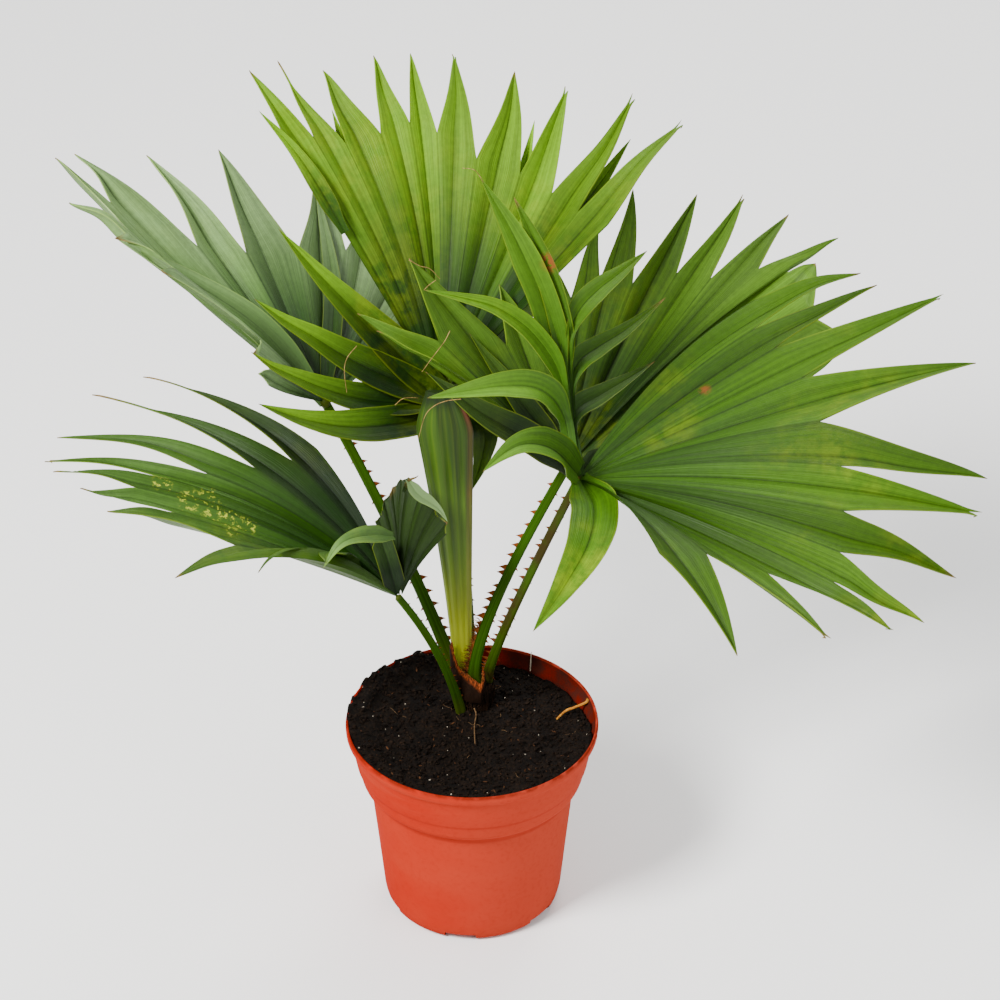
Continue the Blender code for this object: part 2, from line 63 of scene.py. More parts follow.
# Leaves by their segments: hub, and each segment's rib as (azimuth, elevation, reach in metres, share of the reach
# where it parts from its neighbours, height of its arch as a share of the reach). Threads are the segments that end
# in a dry thread, with its share of the free length; tones are lighter or darker segments. A round leaf has a smooth
# outline.
LEAVES = {
    "leaf_right_front": {
        "hub": (0.0526, -0.0200, 0.2744),
        "ribs": (
            (37.7, 15.7, 0.1900, 0.69, 0.08),
            (31.6, 17.4, 0.1857, 0.63, 0.04),
            (21.5, 17.6, 0.2054, 0.59, 0.02),
            (9.9, 13.1, 0.2027, 0.59, 0.04),
            (-7.4, 5.1, 0.1978, 0.65, 0.11),
            (-13.1, 2.8, 0.1966, 0.68, 0.09),
            (-21.3, -2.9, 0.1910, 0.72, 0.09),
            (-29.4, -6.2, 0.1862, 0.78, 0.06),
            (-34.0, -6.3, 0.1768, 0.79, 0.02),
            (-42.1, -7.3, 0.1570, 0.71, 0.04),
            (-59.7, -6.5, 0.1424, 0.63, 0.12),
        ),
    },
    "leaf_right_back": {
        "hub": (0.0482, 0.0450, 0.2384),
        "ribs": (
            (-173.0, 43.0, 0.1300, 0.72, 0.04),
            (-178.0, 42.0, 0.1400, 0.72, 0.03),
            (166.0, 54.0, 0.1380, 0.72, 0.01),
            (133.0, 60.0, 0.1000, 0.72, 0.00),
            (101.0, 61.0, 0.1080, 0.80, -0.02),
            (77.6, 54.4, 0.1293, 0.75, -0.04),
            (70.8, 44.9, 0.1503, 0.69, -0.02),
            (59.7, 34.1, 0.1661, 0.74, -0.03),
            (53.4, 28.8, 0.1813, 0.71, -0.01),
            (46.5, 24.3, 0.1887, 0.78, 0.05),
            (37.2, 21.9, 0.1945, 0.85, 0.06),
            (34.9, 23.0, 0.1729, 0.91, 0.00),
            (27.0, 10.0, 0.1700, 0.90, -0.01),
            (27.7, -0.8, 0.1395, 0.89, -0.01),
            (30.0, -13.0, 0.1040, 0.88, -0.01),
        ),
    },
    "leaf_centre": {
        "hub": (-0.0160, 0.0650, 0.2691),
        "ribs": (
            (144.5, 52.1, 0.1903, 0.78, 0.03),
            (134.9, 52.0, 0.1883, 0.77, 0.05),
            (123.2, 51.8, 0.1761, 0.77, 0.07),
            (107.5, 50.2, 0.1790, 0.79, 0.06),
            (97.6, 48.5, 0.1797, 0.78, 0.05),
            (86.8, 47.1, 0.1798, 0.75, 0.07),
            (72.7, 43.5, 0.1771, 0.69, 0.07),
            (62.7, 37.7, 0.1804, 0.67, 0.08),
            (52.7, 31.6, 0.1960, 0.60, 0.11),
            (44.9, 26.8, 0.2008, 0.56, 0.18),
        ),
        "threads": {1: 0.28},
    },
    "leaf_left_back": {
        "hub": (-0.0747, 0.0650, 0.2655),
        "ribs": (
            (-128.6, 40.0, 0.0631, 0.87, -0.04),
            (-136.2, 47.2, 0.0664, 0.89, 0.00),
            (-164.4, 48.4, 0.1199, 0.91, 0.02),
            (-177.1, 44.5, 0.1410, 0.92, 0.03),
            (172.9, 40.5, 0.1651, 0.80, 0.01),
            (160.5, 38.9, 0.1832, 0.82, -0.03),
            (153.1, 37.3, 0.1787, 0.82, -0.02),
            (131.8, 30.7, 0.1661, 0.62, -0.01),
            (113.7, 25.5, 0.1663, 0.56, 0.00),
            (94.0, 17.5, 0.1600, 0.66, 0.01),
            (83.7, 10.2, 0.1496, 0.74, 0.04),
            (74.7, 3.0, 0.1378, 0.82, 0.06),
            (66.0, -4.0, 0.1260, 0.90, 0.07),
        ),
    },
    "leaf_left_front": {
        "hub": (-0.0369, -0.0050, 0.1934),
        "ribs": (
            (-135.6, 43.5, 0.0650, 0.66, 0.30),
            (-139.7, 32.2, 0.1013, 0.70, 0.21),
            (-151.4, 23.6, 0.1310, 0.74, 0.12),
            (-170.4, 25.7, 0.1579, 0.78, 0.03),
            (-176.4, 25.1, 0.1711, 0.84, 0.04),
            (179.7, 24.0, 0.1848, 0.79, 0.07),
            (174.0, 21.7, 0.1895, 0.68, 0.10),
            (166.4, 21.3, 0.1895, 0.59, 0.14),
            (152.5, 21.1, 0.1909, 0.48, 0.12),
            (139.6, 18.4, 0.1870, 0.44, 0.14),
        ),
        "threads": {4: 0.18, 5: 0.15, 8: 0.28, 9: 0.24},
        "tones": {6: 0.3, 7: 0.15, 8: -0.35, 9: -0.9},
    },
    "lobe_left_front": {
        "hub": (-0.0349, -0.0052, 0.1954),
        "ribs": (
            (123.0, 57.0, 0.0400, 0.98, 0.05),
            (110.0, 56.0, 0.0480, 0.98, 0.05),
            (99.0, 55.0, 0.0540, 0.98, 0.05),
            (91.0, 56.0, 0.0580, 0.98, 0.05),
            (83.0, 60.0, 0.0590, 0.98, 0.05),
            (60.0, 68.0, 0.0550, 0.98, 0.05),
            (21.0, 69.0, 0.0520, 0.98, 0.05),
            (-13.0, 63.0, 0.0530, 0.98, 0.05),
        ),
        "round": True,
    },
}


class Leaflet(typing.NamedTuple):
    """A leaflet laid singly: half its width in metres, and the places along its middle."""

    half_width: float
    path: tuple
    base: float = 0.5  # share of its width at the start
    free: int = 0  # place in the path from where it widens
    full: float = 0.38  # share of its free length over which it keeps its width
    dry: float = 0.015
    tone: float = 0.0  # from -1 dark to 1 light
    # The split paints light and shade: one half of the leaflet lighter than the other, as light falls on and through
    # its fold.
    split: float = 0.0  # difference in tone between its two halves
    # Share of a painted sheen: the pale, glossy highlight painted onto the leaflet.
    painted_sheen: float = 0.0


LEAFLETS = {
    "lobe_right_front": (
        Leaflet(0.0019, base=0.9, full=0.7, tone=-0.5, path=(
            (0.0521, -0.0205, 0.2765), (0.0486, -0.0140, 0.2903), (0.0471, -0.0070, 0.3037),
            (0.0466, -0.0010, 0.3200), (0.0469, 0.0030, 0.3403), (0.0473, 0.0045, 0.3517),
        )),
        Leaflet(0.0077, base=0.45, free=2, full=0.42, tone=0.6, split=-0.2, painted_sheen=0.1, path=(
            (0.0521, -0.0205, 0.2770), (0.0486, -0.0150, 0.2898), (0.0461, -0.0110, 0.3028),
            (0.0401, -0.0140, 0.3168), (0.0313, -0.0190, 0.3265), (0.0183, -0.0270, 0.3329),
            (0.0050, -0.0340, 0.3359), (-0.0200, -0.0433, 0.3364),
        )),
        Leaflet(0.0053, base=0.45, free=3, full=0.45, tone=0.5, path=(
            (0.0521, -0.0205, 0.2770), (0.0486, -0.0140, 0.2903), (0.0471, -0.0090, 0.3021),
            (0.0456, -0.0055, 0.3160), (0.0416, -0.0040, 0.3299), (0.0342, -0.0040, 0.3429),
            (0.0251, -0.0050, 0.3541), (0.0117, -0.0070, 0.3645), (-0.0045, -0.0090, 0.3709),
            (-0.0215, -0.0114, 0.3767),
        )),
        Leaflet(0.0073, base=0.4, free=3, full=0.55, tone=0.15, path=(
            (0.0521, -0.0205, 0.2770), (0.0486, -0.0135, 0.2899), (0.0471, -0.0070, 0.3054),
            (0.0450, -0.0030, 0.3224), (0.0416, 0.0030, 0.3374), (0.0353, 0.0110, 0.3568),
            (0.0270, 0.0190, 0.3744), (0.0184, 0.0280, 0.3897), (0.0054, 0.0400, 0.4088),
        )),
        Leaflet(0.0058, base=0.4, free=3, full=0.55, tone=-0.1, dry=0.05, path=(
            (0.0521, -0.0205, 0.2770), (0.0491, -0.0125, 0.2893), (0.0476, -0.0055, 0.3045),
            (0.0470, -0.0010, 0.3212), (0.0455, 0.0045, 0.3365), (0.0413, 0.0125, 0.3543),
            (0.0353, 0.0205, 0.3713), (0.0290, 0.0275, 0.3867), (0.0213, 0.0340, 0.4017),
        )),
        Leaflet(0.0059, base=0.5, free=4, full=0.35, tone=0.0, path=(
            (0.0521, -0.0205, 0.2770), (0.0491, -0.0120, 0.2890), (0.0476, -0.0050, 0.3041),
            (0.0470, 0.0000, 0.3240), (0.0474, 0.0040, 0.3408), (0.0528, 0.0150, 0.3494),
            (0.0623, 0.0300, 0.3518), (0.0740, 0.0460, 0.3526), (0.0874, 0.0648, 0.3542),
        )),
        Leaflet(0.0064, base=0.6, free=3, full=0.15, tone=-0.1, dry=0.1, path=(
            (0.0521, -0.0205, 0.2770), (0.0491, -0.0120, 0.2890), (0.0476, -0.0055, 0.3027),
            (0.0476, -0.0010, 0.3166), (0.0530, 0.0080, 0.3247), (0.0625, 0.0200, 0.3253),
            (0.0746, 0.0340, 0.3254), (0.0864, 0.0480, 0.3274), (0.0972, 0.0599, 0.3307),
        )),
        Leaflet(0.0064, base=0.6, free=2, full=0.15, tone=-0.35, dry=0.08, path=(
            (0.0521, -0.0205, 0.2770), (0.0501, -0.0150, 0.2886), (0.0481, -0.0095, 0.2984),
            (0.0526, -0.0010, 0.3033), (0.0637, 0.0140, 0.3014), (0.0781, 0.0320, 0.3003),
            (0.0920, 0.0475, 0.3009),
        )),
    ),
    "leaf_right_front": (
        Leaflet(0.0114, base=0.42, full=0.42, tone=0.6, path=(
            (0.0531, -0.0205, 0.2759), (0.0597, -0.0500, 0.2788), (0.0562, -0.0780, 0.2760),
            (0.0445, -0.1020, 0.2681), (0.0299, -0.1258, 0.2605),
        )),
        Leaflet(0.0040, base=0.5, full=0.6, tone=-0.6, path=(
            (0.0528, -0.0190, 0.2746), (0.0586, -0.0100, 0.2783), (0.0638, 0.0020, 0.2775),
        )),
        Leaflet(0.0093, base=0.7, full=0.42, tone=0.75, split=-0.1, painted_sheen=0.1, path=(
            (0.0520, -0.0210, 0.2785), (0.0434, -0.0320, 0.2968), (0.0341, -0.0450, 0.3102),
            (0.0240, -0.0580, 0.3190), (0.0155, -0.0690, 0.3211), (0.0066, -0.0796, 0.3191),
        )),
    ),
    "leaf_right_back": (
        Leaflet(0.0085, tone=-0.9, path=(
            (0.0482, 0.0450, 0.2384), (0.0296, 0.0360, 0.2607), (0.0046, 0.0300, 0.2818), (-0.0224, 0.0220, 0.3103),
        )),
        Leaflet(0.0065, tone=-0.8, path=((0.0464, 0.0452, 0.2454), (0.0245, 0.0474, 0.2775), (-0.0007, 0.0536, 0.3133))),
    ),
    "leaf_centre": (
        Leaflet(0.0100, base=0.75, full=0.3, tone=-0.35, split=0.3, path=(
            (-0.0160, 0.0640, 0.2698), (-0.0261, 0.0650, 0.2805), (-0.0385, 0.0665, 0.2957),
            (-0.0529, 0.0685, 0.3110), (-0.0662, 0.0700, 0.3253), (-0.0774, 0.0715, 0.3383),
            (-0.0865, 0.0725, 0.3503), (-0.0951, 0.0734, 0.3618),
        )),
        Leaflet(0.0100, base=0.8, full=0.32, tone=-0.4, split=0.3, path=(
            (-0.0160, 0.0630, 0.2698), (-0.0311, 0.0600, 0.2783), (-0.0499, 0.0550, 0.2909),
            (-0.0655, 0.0510, 0.3028), (-0.0790, 0.0475, 0.3149), (-0.0920, 0.0455, 0.3254),
            (-0.1063, 0.0443, 0.3388),
        )),
        Leaflet(0.0082, base=0.85, full=0.38, tone=-0.45, split=0.3, path=(
            (-0.0160, 0.0620, 0.2698), (-0.0350, 0.0520, 0.2732), (-0.0567, 0.0410, 0.2825),
            (-0.0726, 0.0340, 0.2923), (-0.0859, 0.0280, 0.3030), (-0.0977, 0.0240, 0.3125),
            (-0.1070, 0.0210, 0.3224),
        )),
        Leaflet(0.0095, base=0.85, full=0.42, tone=-0.45, split=0.4, path=(
            (-0.0154, 0.0600, 0.2699), (-0.0270, 0.0500, 0.2642), (-0.0447, 0.0340, 0.2703),
            (-0.0626, 0.0220, 0.2781), (-0.0788, 0.0130, 0.2874), (-0.0921, 0.0080, 0.2953),
            (-0.1039, 0.0042, 0.3029),
        )),
        Leaflet(0.0085, full=0.65, tone=-0.5, path=(
            (-0.0150, 0.0660, 0.2691), (0.0043, 0.0850, 0.2843), (0.0207, 0.1050, 0.2890), (0.0380, 0.1300, 0.2952),
        )),
        Leaflet(0.0080, full=0.65, tone=-0.8, path=(
            (-0.0150, 0.0660, 0.2691), (0.0032, 0.0860, 0.2668), (0.0208, 0.1050, 0.2660), (0.0365, 0.1220, 0.2653),
        )),
        # Painted shade: the next two leaflets are given a very dark tone (-0.9) for lying in the shade under the leaves
        # above.
        Leaflet(0.0076, base=0.6, full=0.35, tone=-0.9, path=(
            (-0.0129, 0.0620, 0.2710), (-0.0027, 0.0560, 0.2676), (0.0064, 0.0500, 0.2582),
            (0.0054, 0.0450, 0.2445), (-0.0003, 0.0400, 0.2270),
        )),
        Leaflet(0.0096, base=0.5, full=0.4, tone=-0.9, path=(
            (-0.0129, 0.0620, 0.2728), (0.0044, 0.0570, 0.2694), (0.0247, 0.0530, 0.2623),
            (0.0374, 0.0500, 0.2546), (0.0481, 0.0460, 0.2451),
        )),
        Leaflet(0.0046, tone=0.6, path=((0.0166, 0.1134, 0.3211), (0.0255, 0.1418, 0.3499), (0.0325, 0.1668, 0.3734))),
        Leaflet(0.0052, tone=-0.2, path=((0.0382, 0.1211, 0.3202), (0.0656, 0.1534, 0.3427), (0.0827, 0.1760, 0.3572))),
        Leaflet(0.0052, tone=0.0, path=((0.0324, 0.1134, 0.3137), (0.0486, 0.1368, 0.3334), (0.0570, 0.1577, 0.3519))),
        Leaflet(0.0045, tone=0.2, path=((-0.0632, 0.0897, 0.3505), (-0.0852, 0.1054, 0.3840), (-0.1057, 0.1129, 0.4068))),
        Leaflet(0.0046, tone=0.1, path=((-0.0434, 0.1037, 0.3393), (-0.0591, 0.1190, 0.3669), (-0.0709, 0.1416, 0.3929))),
    ),
    "leaf_left_back": (
        Leaflet(0.0075, tone=0.4, painted_sheen=0.45, path=(
            (-0.0747, 0.0650, 0.2655), (-0.1061, 0.0760, 0.3012), (-0.1413, 0.0740, 0.3317), (-0.1728, 0.0525, 0.3680),
        )),
        Leaflet(0.0052, tone=-0.6, path=((-0.0747, 0.0650, 0.2655), (-0.0726, 0.1321, 0.2912), (-0.0848, 0.2104, 0.3133))),
    ),
    "leaf_left_front": (
        Leaflet(0.0056, base=0.3, full=0.85, tone=-0.9, path=(
            (-0.0375, -0.0042, 0.1945), (-0.0417, -0.0025, 0.2132), (-0.0462, -0.0012, 0.2296),
        )),
        Leaflet(0.0048, base=0.45, full=0.35, tone=0.9, painted_sheen=0.35, path=(
            (-0.0392, -0.0080, 0.2323), (-0.0473, -0.0160, 0.2390), (-0.0558, -0.0240, 0.2433),
            (-0.0643, -0.0330, 0.2442), (-0.0722, -0.0379, 0.2345),
        )),
    ),
    "lobe_left_front": (
        Leaflet(0.0009, base=0.8, full=0.3, dry=0.9, tone=0.2, path=(
            (-0.0343, 0.0200, 0.2405), (-0.0311, 0.0200, 0.2471), (-0.0265, 0.0170, 0.2524),
        )),
        Leaflet(0.0032, base=0.35, full=0.45, tone=0.8, painted_sheen=0.8, path=(
            (-0.0317, 0.0210, 0.2465), (-0.0264, 0.0100, 0.2460), (-0.0203, 0.0010, 0.2472),
            (-0.0152, -0.0060, 0.2466), (-0.0112, -0.0120, 0.2438),
        )),
    ),
}

# How each leaf is coloured: green near the hub, green towards the tips, share of yellow patches, share of pale
# haze on the tips, roughness. The hub's darker green is partly painted shade, the tips' lighter green is partly painted
# light shining through the blade, and the pale haze on the tips is a painted sheen.
LEAF_FINISH = {
    "leaf_right_front": ((0.020, 0.062, 0.0002), (0.041, 0.106, 0.0004), 0.42, 0.0, 0.48),
    "lobe_right_front": ((0.018, 0.060, 0.0003), (0.054, 0.135, 0.0010), 0.15, 0.0, 0.46),
    "leaf_right_back": ((0.009, 0.030, 0.0008), (0.062, 0.150, 0.0012), 0.15, 0.05, 0.48),
    "leaf_centre": ((0.008, 0.034, 0.0004), (0.118, 0.262, 0.0010), 0.25, 0.0, 0.48),
    "leaf_left_back": ((0.012, 0.044, 0.0030), (0.070, 0.172, 0.0150), 0.05, 0.58, 0.42),
    "leaf_left_front": ((0.006, 0.026, 0.0004), (0.030, 0.082, 0.0030), 0.10, 0.06, 0.40),
    "lobe_left_front": ((0.006, 0.017, 0.0012), (0.013, 0.030, 0.0030), 0.05, 0.0, 0.40),
}

# Marks on the leaves: place, radius, grains per metre, share left bare, colour
LEAF_MARKS = {
    "leaf_right_front": (((0.1158, 0.0140, 0.3031), 0.0050, 260.0, 0.40, (0.190, 0.040, 0.008)),),
    "lobe_right_front": (((0.0377, 0.0205, 0.3730), 0.0065, 260.0, 0.42, (0.200, 0.045, 0.008)),),
    "leaf_left_front": (
        ((-0.1537, 0.0022, 0.2560), 0.0075, 420.0, 0.54, (0.420, 0.460, 0.030)),
        ((-0.1388, -0.0031, 0.2502), 0.0095, 420.0, 0.54, (0.420, 0.460, 0.030)),
        ((-0.1312, 0.0047, 0.2483), 0.0060, 420.0, 0.54, (0.420, 0.460, 0.030)),
        ((-0.1280, -0.0037, 0.2454), 0.0090, 420.0, 0.54, (0.420, 0.460, 0.030)),
        ((-0.1197, -0.0059, 0.2407), 0.0080, 420.0, 0.54, (0.420, 0.460, 0.030)),
        ((-0.1114, -0.0060, 0.2367), 0.0070, 420.0, 0.54, (0.420, 0.460, 0.030)),
        ((-0.1186, -0.0141, 0.2373), 0.0050, 420.0, 0.54, (0.420, 0.460, 0.030)),
    ),
}


class StalkShape(typing.NamedTuple):
    """Where a stalk stands, how it bows, and how broad, spiny and brown it is."""

    leaf: str
    foot: tuple  # from the crown's centre
    bow: tuple
    width: float  # share of the full width
    spine: float  # share of the longest spines' length
    gap: float  # share of the spines' spacing
    brown: float
    knob: float = 0.0030


STALKS = {
    "stalk_right_front": StalkShape("leaf_right_front", (0.0069, 0.0011), (-0.0119, 0.0, -0.0238), 0.84, 1.05, 1.3, 0.95),
    "stalk_right_back": StalkShape("leaf_right_back", (0.0009, -0.0060), (-0.0154, -0.0060, -0.0165), 0.98, 1.20, 0.95, 0.15),
    "stalk_centre": StalkShape("leaf_centre", (-0.0026, 0.0066), (0.0035, 0.0, 0.0), 1.0, 0.50, 1.5, 0.60),
    "stalk_left_back": StalkShape("leaf_left_back", (-0.0084, 0.0044), (0.0030, 0.0, 0.0), 1.0, 1.05, 1.6, 0.25),
    "stalk_left_front": StalkShape("leaf_left_front", (-0.0067, -0.0089), (0.0042, 0.0, 0.0007), 0.78, 0.55, 1.1, 0.20, 0.0014),
}
LOW_STALK = "stalk_left_front"
FRONT_STALK = "stalk_right_back"
STALK_FOOT = (0.0037, 0.0027)
STALK_TIP = (0.0025, 0.0019)
FOOT_FLARE = 0.26
STALK_RINGS = 60
STALK_SIDES = 20

SOIL_TOP = 0.103
CROWN_CENTRE = Vector((0.0010, 0.0270))
CROWN_RADIUS = 0.0105
CROWN_TOP = 0.1158

SPEAR_FOOT = Vector((-0.0044, 0.0240, CROWN_TOP))
SPEAR_TOP = Vector((-0.0148, 0.0300, 0.2940))
SPEAR_BOW = Vector((0.0010, 0.0, 0.0))

POT_HEIGHT = 0.112

LEAF_SPECULAR = 0.16
STALK_IOR = 1.2
PLASTIC_SPECULAR = 0.06
PLASTIC_IOR = 1.06
PEAT_SPECULAR = 0.08

CAMERA_PLACE = (0.01453, -1.42568, 1.21074)
CAMERA_PITCH = 34.0
CAMERA_LENS = 124.6


# Settings


class PalmLeafSettings(bpy.types.PropertyGroup):
    thickness: bpy.props.FloatProperty(
        name="Blade thickness", description="Thickness of a leaf blade", default=0.00055, unit="LENGTH"
    )
    fold: bpy.props.FloatProperty(
        name="Pleat", description="Rise of a pleat over its width", default=0.40, min=0.0, max=1.0
    )
    dry_colour: bpy.props.FloatVectorProperty(
        name="Dry tips", description="Colour of dry leaf tips", default=(0.20, 0.12, 0.035), size=3, subtype="COLOR"
    )
    yellow: bpy.props.FloatVectorProperty(
        name="Yellow patches", description="Colour of paler patches", default=(0.25, 0.33, 0.002), size=3,
        subtype="COLOR",
    )
    # The sheen colour is painted sheen: the pale highlights on glossy leaflets and the pale haze on the tips.
    sheen: bpy.props.FloatVectorProperty(
        name="Sheen", description="Colour of pale, silvery leaf parts", default=(0.22, 0.34, 0.14), size=3,
        subtype="COLOR",
    )
    underside: bpy.props.FloatVectorProperty(
        name="Underside", description="Colour of the leaves' underside", default=(0.045, 0.100, 0.006), size=3,
        subtype="COLOR",
    )


class PalmStalkSettings(bpy.types.PropertyGroup):
    spine_length: bpy.props.FloatProperty(
        name="Spine length", description="Length of the longest spines", default=0.0040, unit="LENGTH"
    )
    spine_spacing: bpy.props.FloatProperty(
        name="Spine spacing", description="Distance between spines on one edge", default=0.0055, unit="LENGTH"
    )
    colour: bpy.props.FloatVectorProperty(
        name="Stalk", description="Colour of the stalks", default=(0.014, 0.044, 0.0010), size=3, subtype="COLOR"
    )
    spine_colour: bpy.props.FloatVectorProperty(
        name="Spines", description="Colour of the spines", default=(0.250, 0.064, 0.012), size=3, subtype="COLOR"
    )


class PalmPotSettings(bpy.types.PropertyGroup):
    colour: bpy.props.FloatVectorProperty(
        name="Pot", description="Colour of the moulded pot", default=(0.335, 0.0145, 0.0045), size=3, subtype="COLOR"
    )
    haze: bpy.props.FloatVectorProperty(
        name="Haze", description="Colour of the chalky haze on the pot", default=(0.370, 0.0440, 0.0210), size=3,
        subtype="COLOR",
    )


class PalmSoilSettings(bpy.types.PropertyGroup):
    crumbs: bpy.props.IntProperty(name="Crumbs", description="Number of loose crumbs on the peat", default=2800)
    relief: bpy.props.FloatProperty(
        name="Relief", description="Height of the peat's lumps", default=0.0026, unit="LENGTH"
    )


class PalmStageSettings(bpy.types.PropertyGroup):
    floor_colour: bpy.props.FloatVectorProperty(
        name="Floor", description="Colour of the floor", default=(0.94, 0.94, 0.94), size=3, subtype="COLOR"
    )
    key_power: bpy.props.FloatProperty(name="Key light", description="Power of the main light", default=105.0)


# Small helpers


def piece(name, bm, materials, nodes=()):
    """A finished mesh as a piece that rides on the plant."""
    mesh = bpy.data.meshes.new(name)
    bm.to_mesh(mesh)
    bm.free()
    obj = bpy.data.objects.new(name, mesh)
    bpy.context.scene.collection.objects.link(obj)
    for material in materials:
        mesh.materials.append(material)
    hand_over(obj, nodes)
    return obj


def hand_over(obj, nodes=()):
    """Makes an object ride on the plant, in place of the CAD nodes named."""
    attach(obj, BODY)
    if nodes:
        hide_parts(*nodes)


def select_only(obj):
    for other in bpy.context.selected_objects:
        other.select_set(False)
    bpy.context.view_layer.objects.active = obj
    obj.select_set(True)


def apply_modifier(obj, kind, **values):
    select_only(obj)
    bpy.ops.object.modifier_add(type=kind)
    modifier = obj.modifiers[-1]
    for key, value in values.items():
        setattr(modifier, key, value)
    bpy.ops.object.modifier_apply(modifier=modifier.name)


def shade_by_angle(obj, degrees):
    select_only(obj)
    bpy.ops.object.shade_smooth_by_angle(angle=math.radians(degrees))


def smooth_step(value):
    value = min(1.0, max(0.0, value))
    return value * value * (3 - 2 * value)


def bezier(start, bend, end, t):
    return start * (1 - t) ** 2 + bend * (2 * t * (1 - t)) + end * t**2


# Node helpers


class Nodes:
    """Short calls for building a node tree."""

    def __init__(self, tree):
        self.tree = tree

    def add(self, kind, **values):
        node = self.tree.nodes.new(kind)
        for key, value in values.items():
            setattr(node, key, value)
        return node

    def link(self, source, target):
        self.tree.links.new(source, target)

    def feed(self, socket, value):
        """A link where the value is a socket, and otherwise the value itself."""
        if isinstance(value, bpy.types.NodeSocket):
            self.link(value, socket)
        elif isinstance(value, (tuple, list)) and len(value) == 3 and socket.type == "RGBA":
            socket.default_value = (*value, 1.0)
        else:
            socket.default_value = value

    def math(self, operation, a, b=0.0, clamp=False):
        node = self.add("ShaderNodeMath", operation=operation, use_clamp=clamp)
        self.feed(node.inputs[0], a)
        self.feed(node.inputs[1], b)
        return node.outputs[0]

    def mix(self, share, a, b, blend="MIX"):
        node = self.add("ShaderNodeMix", data_type="RGBA", blend_type=blend)
        self.feed(node.inputs["Factor"], share)
        self.feed(node.inputs[6], a)
        self.feed(node.inputs[7], b)
        return node.outputs[2]

    def ramp(self, value, low, high):
        """0 below low and 1 above high, smooth between."""
        node = self.add("ShaderNodeMapRange", interpolation_type="SMOOTHSTEP")
        self.feed(node.inputs["Value"], value)
        self.feed(node.inputs["From Min"], low)
        self.feed(node.inputs["From Max"], high)
        return node.outputs["Result"]

    def noise(self, vector, scale, detail=3.0, roughness=0.5):
        node = self.add("ShaderNodeTexNoise")
        self.feed(node.inputs["Vector"], vector)
        node.inputs["Scale"].default_value = scale
        node.inputs["Detail"].default_value = detail
        node.inputs["Roughness"].default_value = roughness
        return node.outputs["Fac"]

    def stretch(self, vector, scale):
        node = self.add("ShaderNodeMapping")
        self.feed(node.inputs["Vector"], vector)
        node.inputs["Scale"].default_value = scale
        return node.outputs["Vector"]

    def scale(self, colour, factor):
        """A colour made brighter or darker."""
        node = self.add("ShaderNodeVectorMath", operation="SCALE")
        self.feed(node.inputs["Vector"], colour)
        self.feed(node.inputs["Scale"], factor)
        return node.outputs["Vector"]


def new_material(name):
    """A material with its Principled shader, and the helper for its nodes."""
    material = bpy.data.materials.new(name)
    material.use_nodes = True
    nodes = Nodes(material.node_tree)
    return material, nodes, material.node_tree.nodes["Principled BSDF"]


def bump(nodes, shader, height, strength, distance):
    node = nodes.add("ShaderNodeBump")
    node.inputs["Strength"].default_value = strength
    node.inputs["Distance"].default_value = distance
    nodes.link(height, node.inputs["Height"])
    nodes.link(node.outputs["Normal"], shader.inputs["Normal"])


def blade_pattern_group():
    """Masks of a leaf's surface: veins and streaks along it, painted shade along the midrib and folds, margins, patches
    and mottling.
    """
    found = bpy.data.node_groups.get("blade_pattern")
    if found:
        return found
    group = bpy.data.node_groups.new("blade_pattern", "ShaderNodeTree")
    group.interface.new_socket(name="Place", in_out="INPUT", socket_type="NodeSocketVector")
    group.interface.new_socket(name="Along", in_out="INPUT", socket_type="NodeSocketVector")
    group.interface.new_socket(name="Free", in_out="INPUT", socket_type="NodeSocketFloat")
    for name in ("Reach", "Veins", "Streaks", "PaintedMidribShade", "PaintedFoldShade", "Margin", "Patches", "Mottle"):
        group.interface.new_socket(name=name, in_out="OUTPUT", socket_type="NodeSocketFloat")
    nodes = Nodes(group)
    source = nodes.add("NodeGroupInput")
    out = nodes.add("NodeGroupOutput").inputs
    place, along = source.outputs["Place"], source.outputs["Along"]
    free = nodes.math("MULTIPLY", source.outputs["Free"], 8.0, clamp=True)
    split = nodes.add("ShaderNodeSeparateXYZ")
    nodes.link(along, split.inputs[0])
    across = nodes.math("FRACT", split.outputs[0])
    from_middle = nodes.math("ABSOLUTE", nodes.math("SUBTRACT", across, 0.5))
    edge = nodes.ramp(from_middle, 0.452, 0.494)
    nodes.link(nodes.ramp(split.outputs[1], 0.10, 0.80), out["Reach"])
    nodes.link(nodes.ramp(nodes.noise(nodes.stretch(along, (52.0, 1.6, 1.0)), 1.0, 2.0), 0.36, 0.64), out["Veins"])
    nodes.link(nodes.ramp(nodes.noise(nodes.stretch(along, (8.0, 1.5, 1.0)), 1.0, 3.0), 0.36, 0.66), out["Streaks"])
    # Painted shade in the creases: along the midrib, and along the folds where the segments are joined.
    nodes.link(nodes.math("SUBTRACT", 1.0, nodes.ramp(from_middle, 0.006, 0.050)), out["PaintedMidribShade"])
    nodes.link(nodes.math("MULTIPLY", edge, nodes.math("SUBTRACT", 1.0, free)), out["PaintedFoldShade"])
    nodes.link(nodes.math("MULTIPLY", edge, free), out["Margin"])
    broad = nodes.ramp(nodes.noise(place, 13.0, 3.0, 0.5), 0.48, 0.70)
    ragged = nodes.ramp(nodes.noise(place, 110.0, 4.0, 0.65), 0.36, 0.62)
    nodes.link(nodes.math("MULTIPLY", broad, ragged), out["Patches"])
    nodes.link(nodes.ramp(nodes.noise(place, 330.0, 4.0, 0.62), 0.36, 0.66), out["Mottle"])
    return group


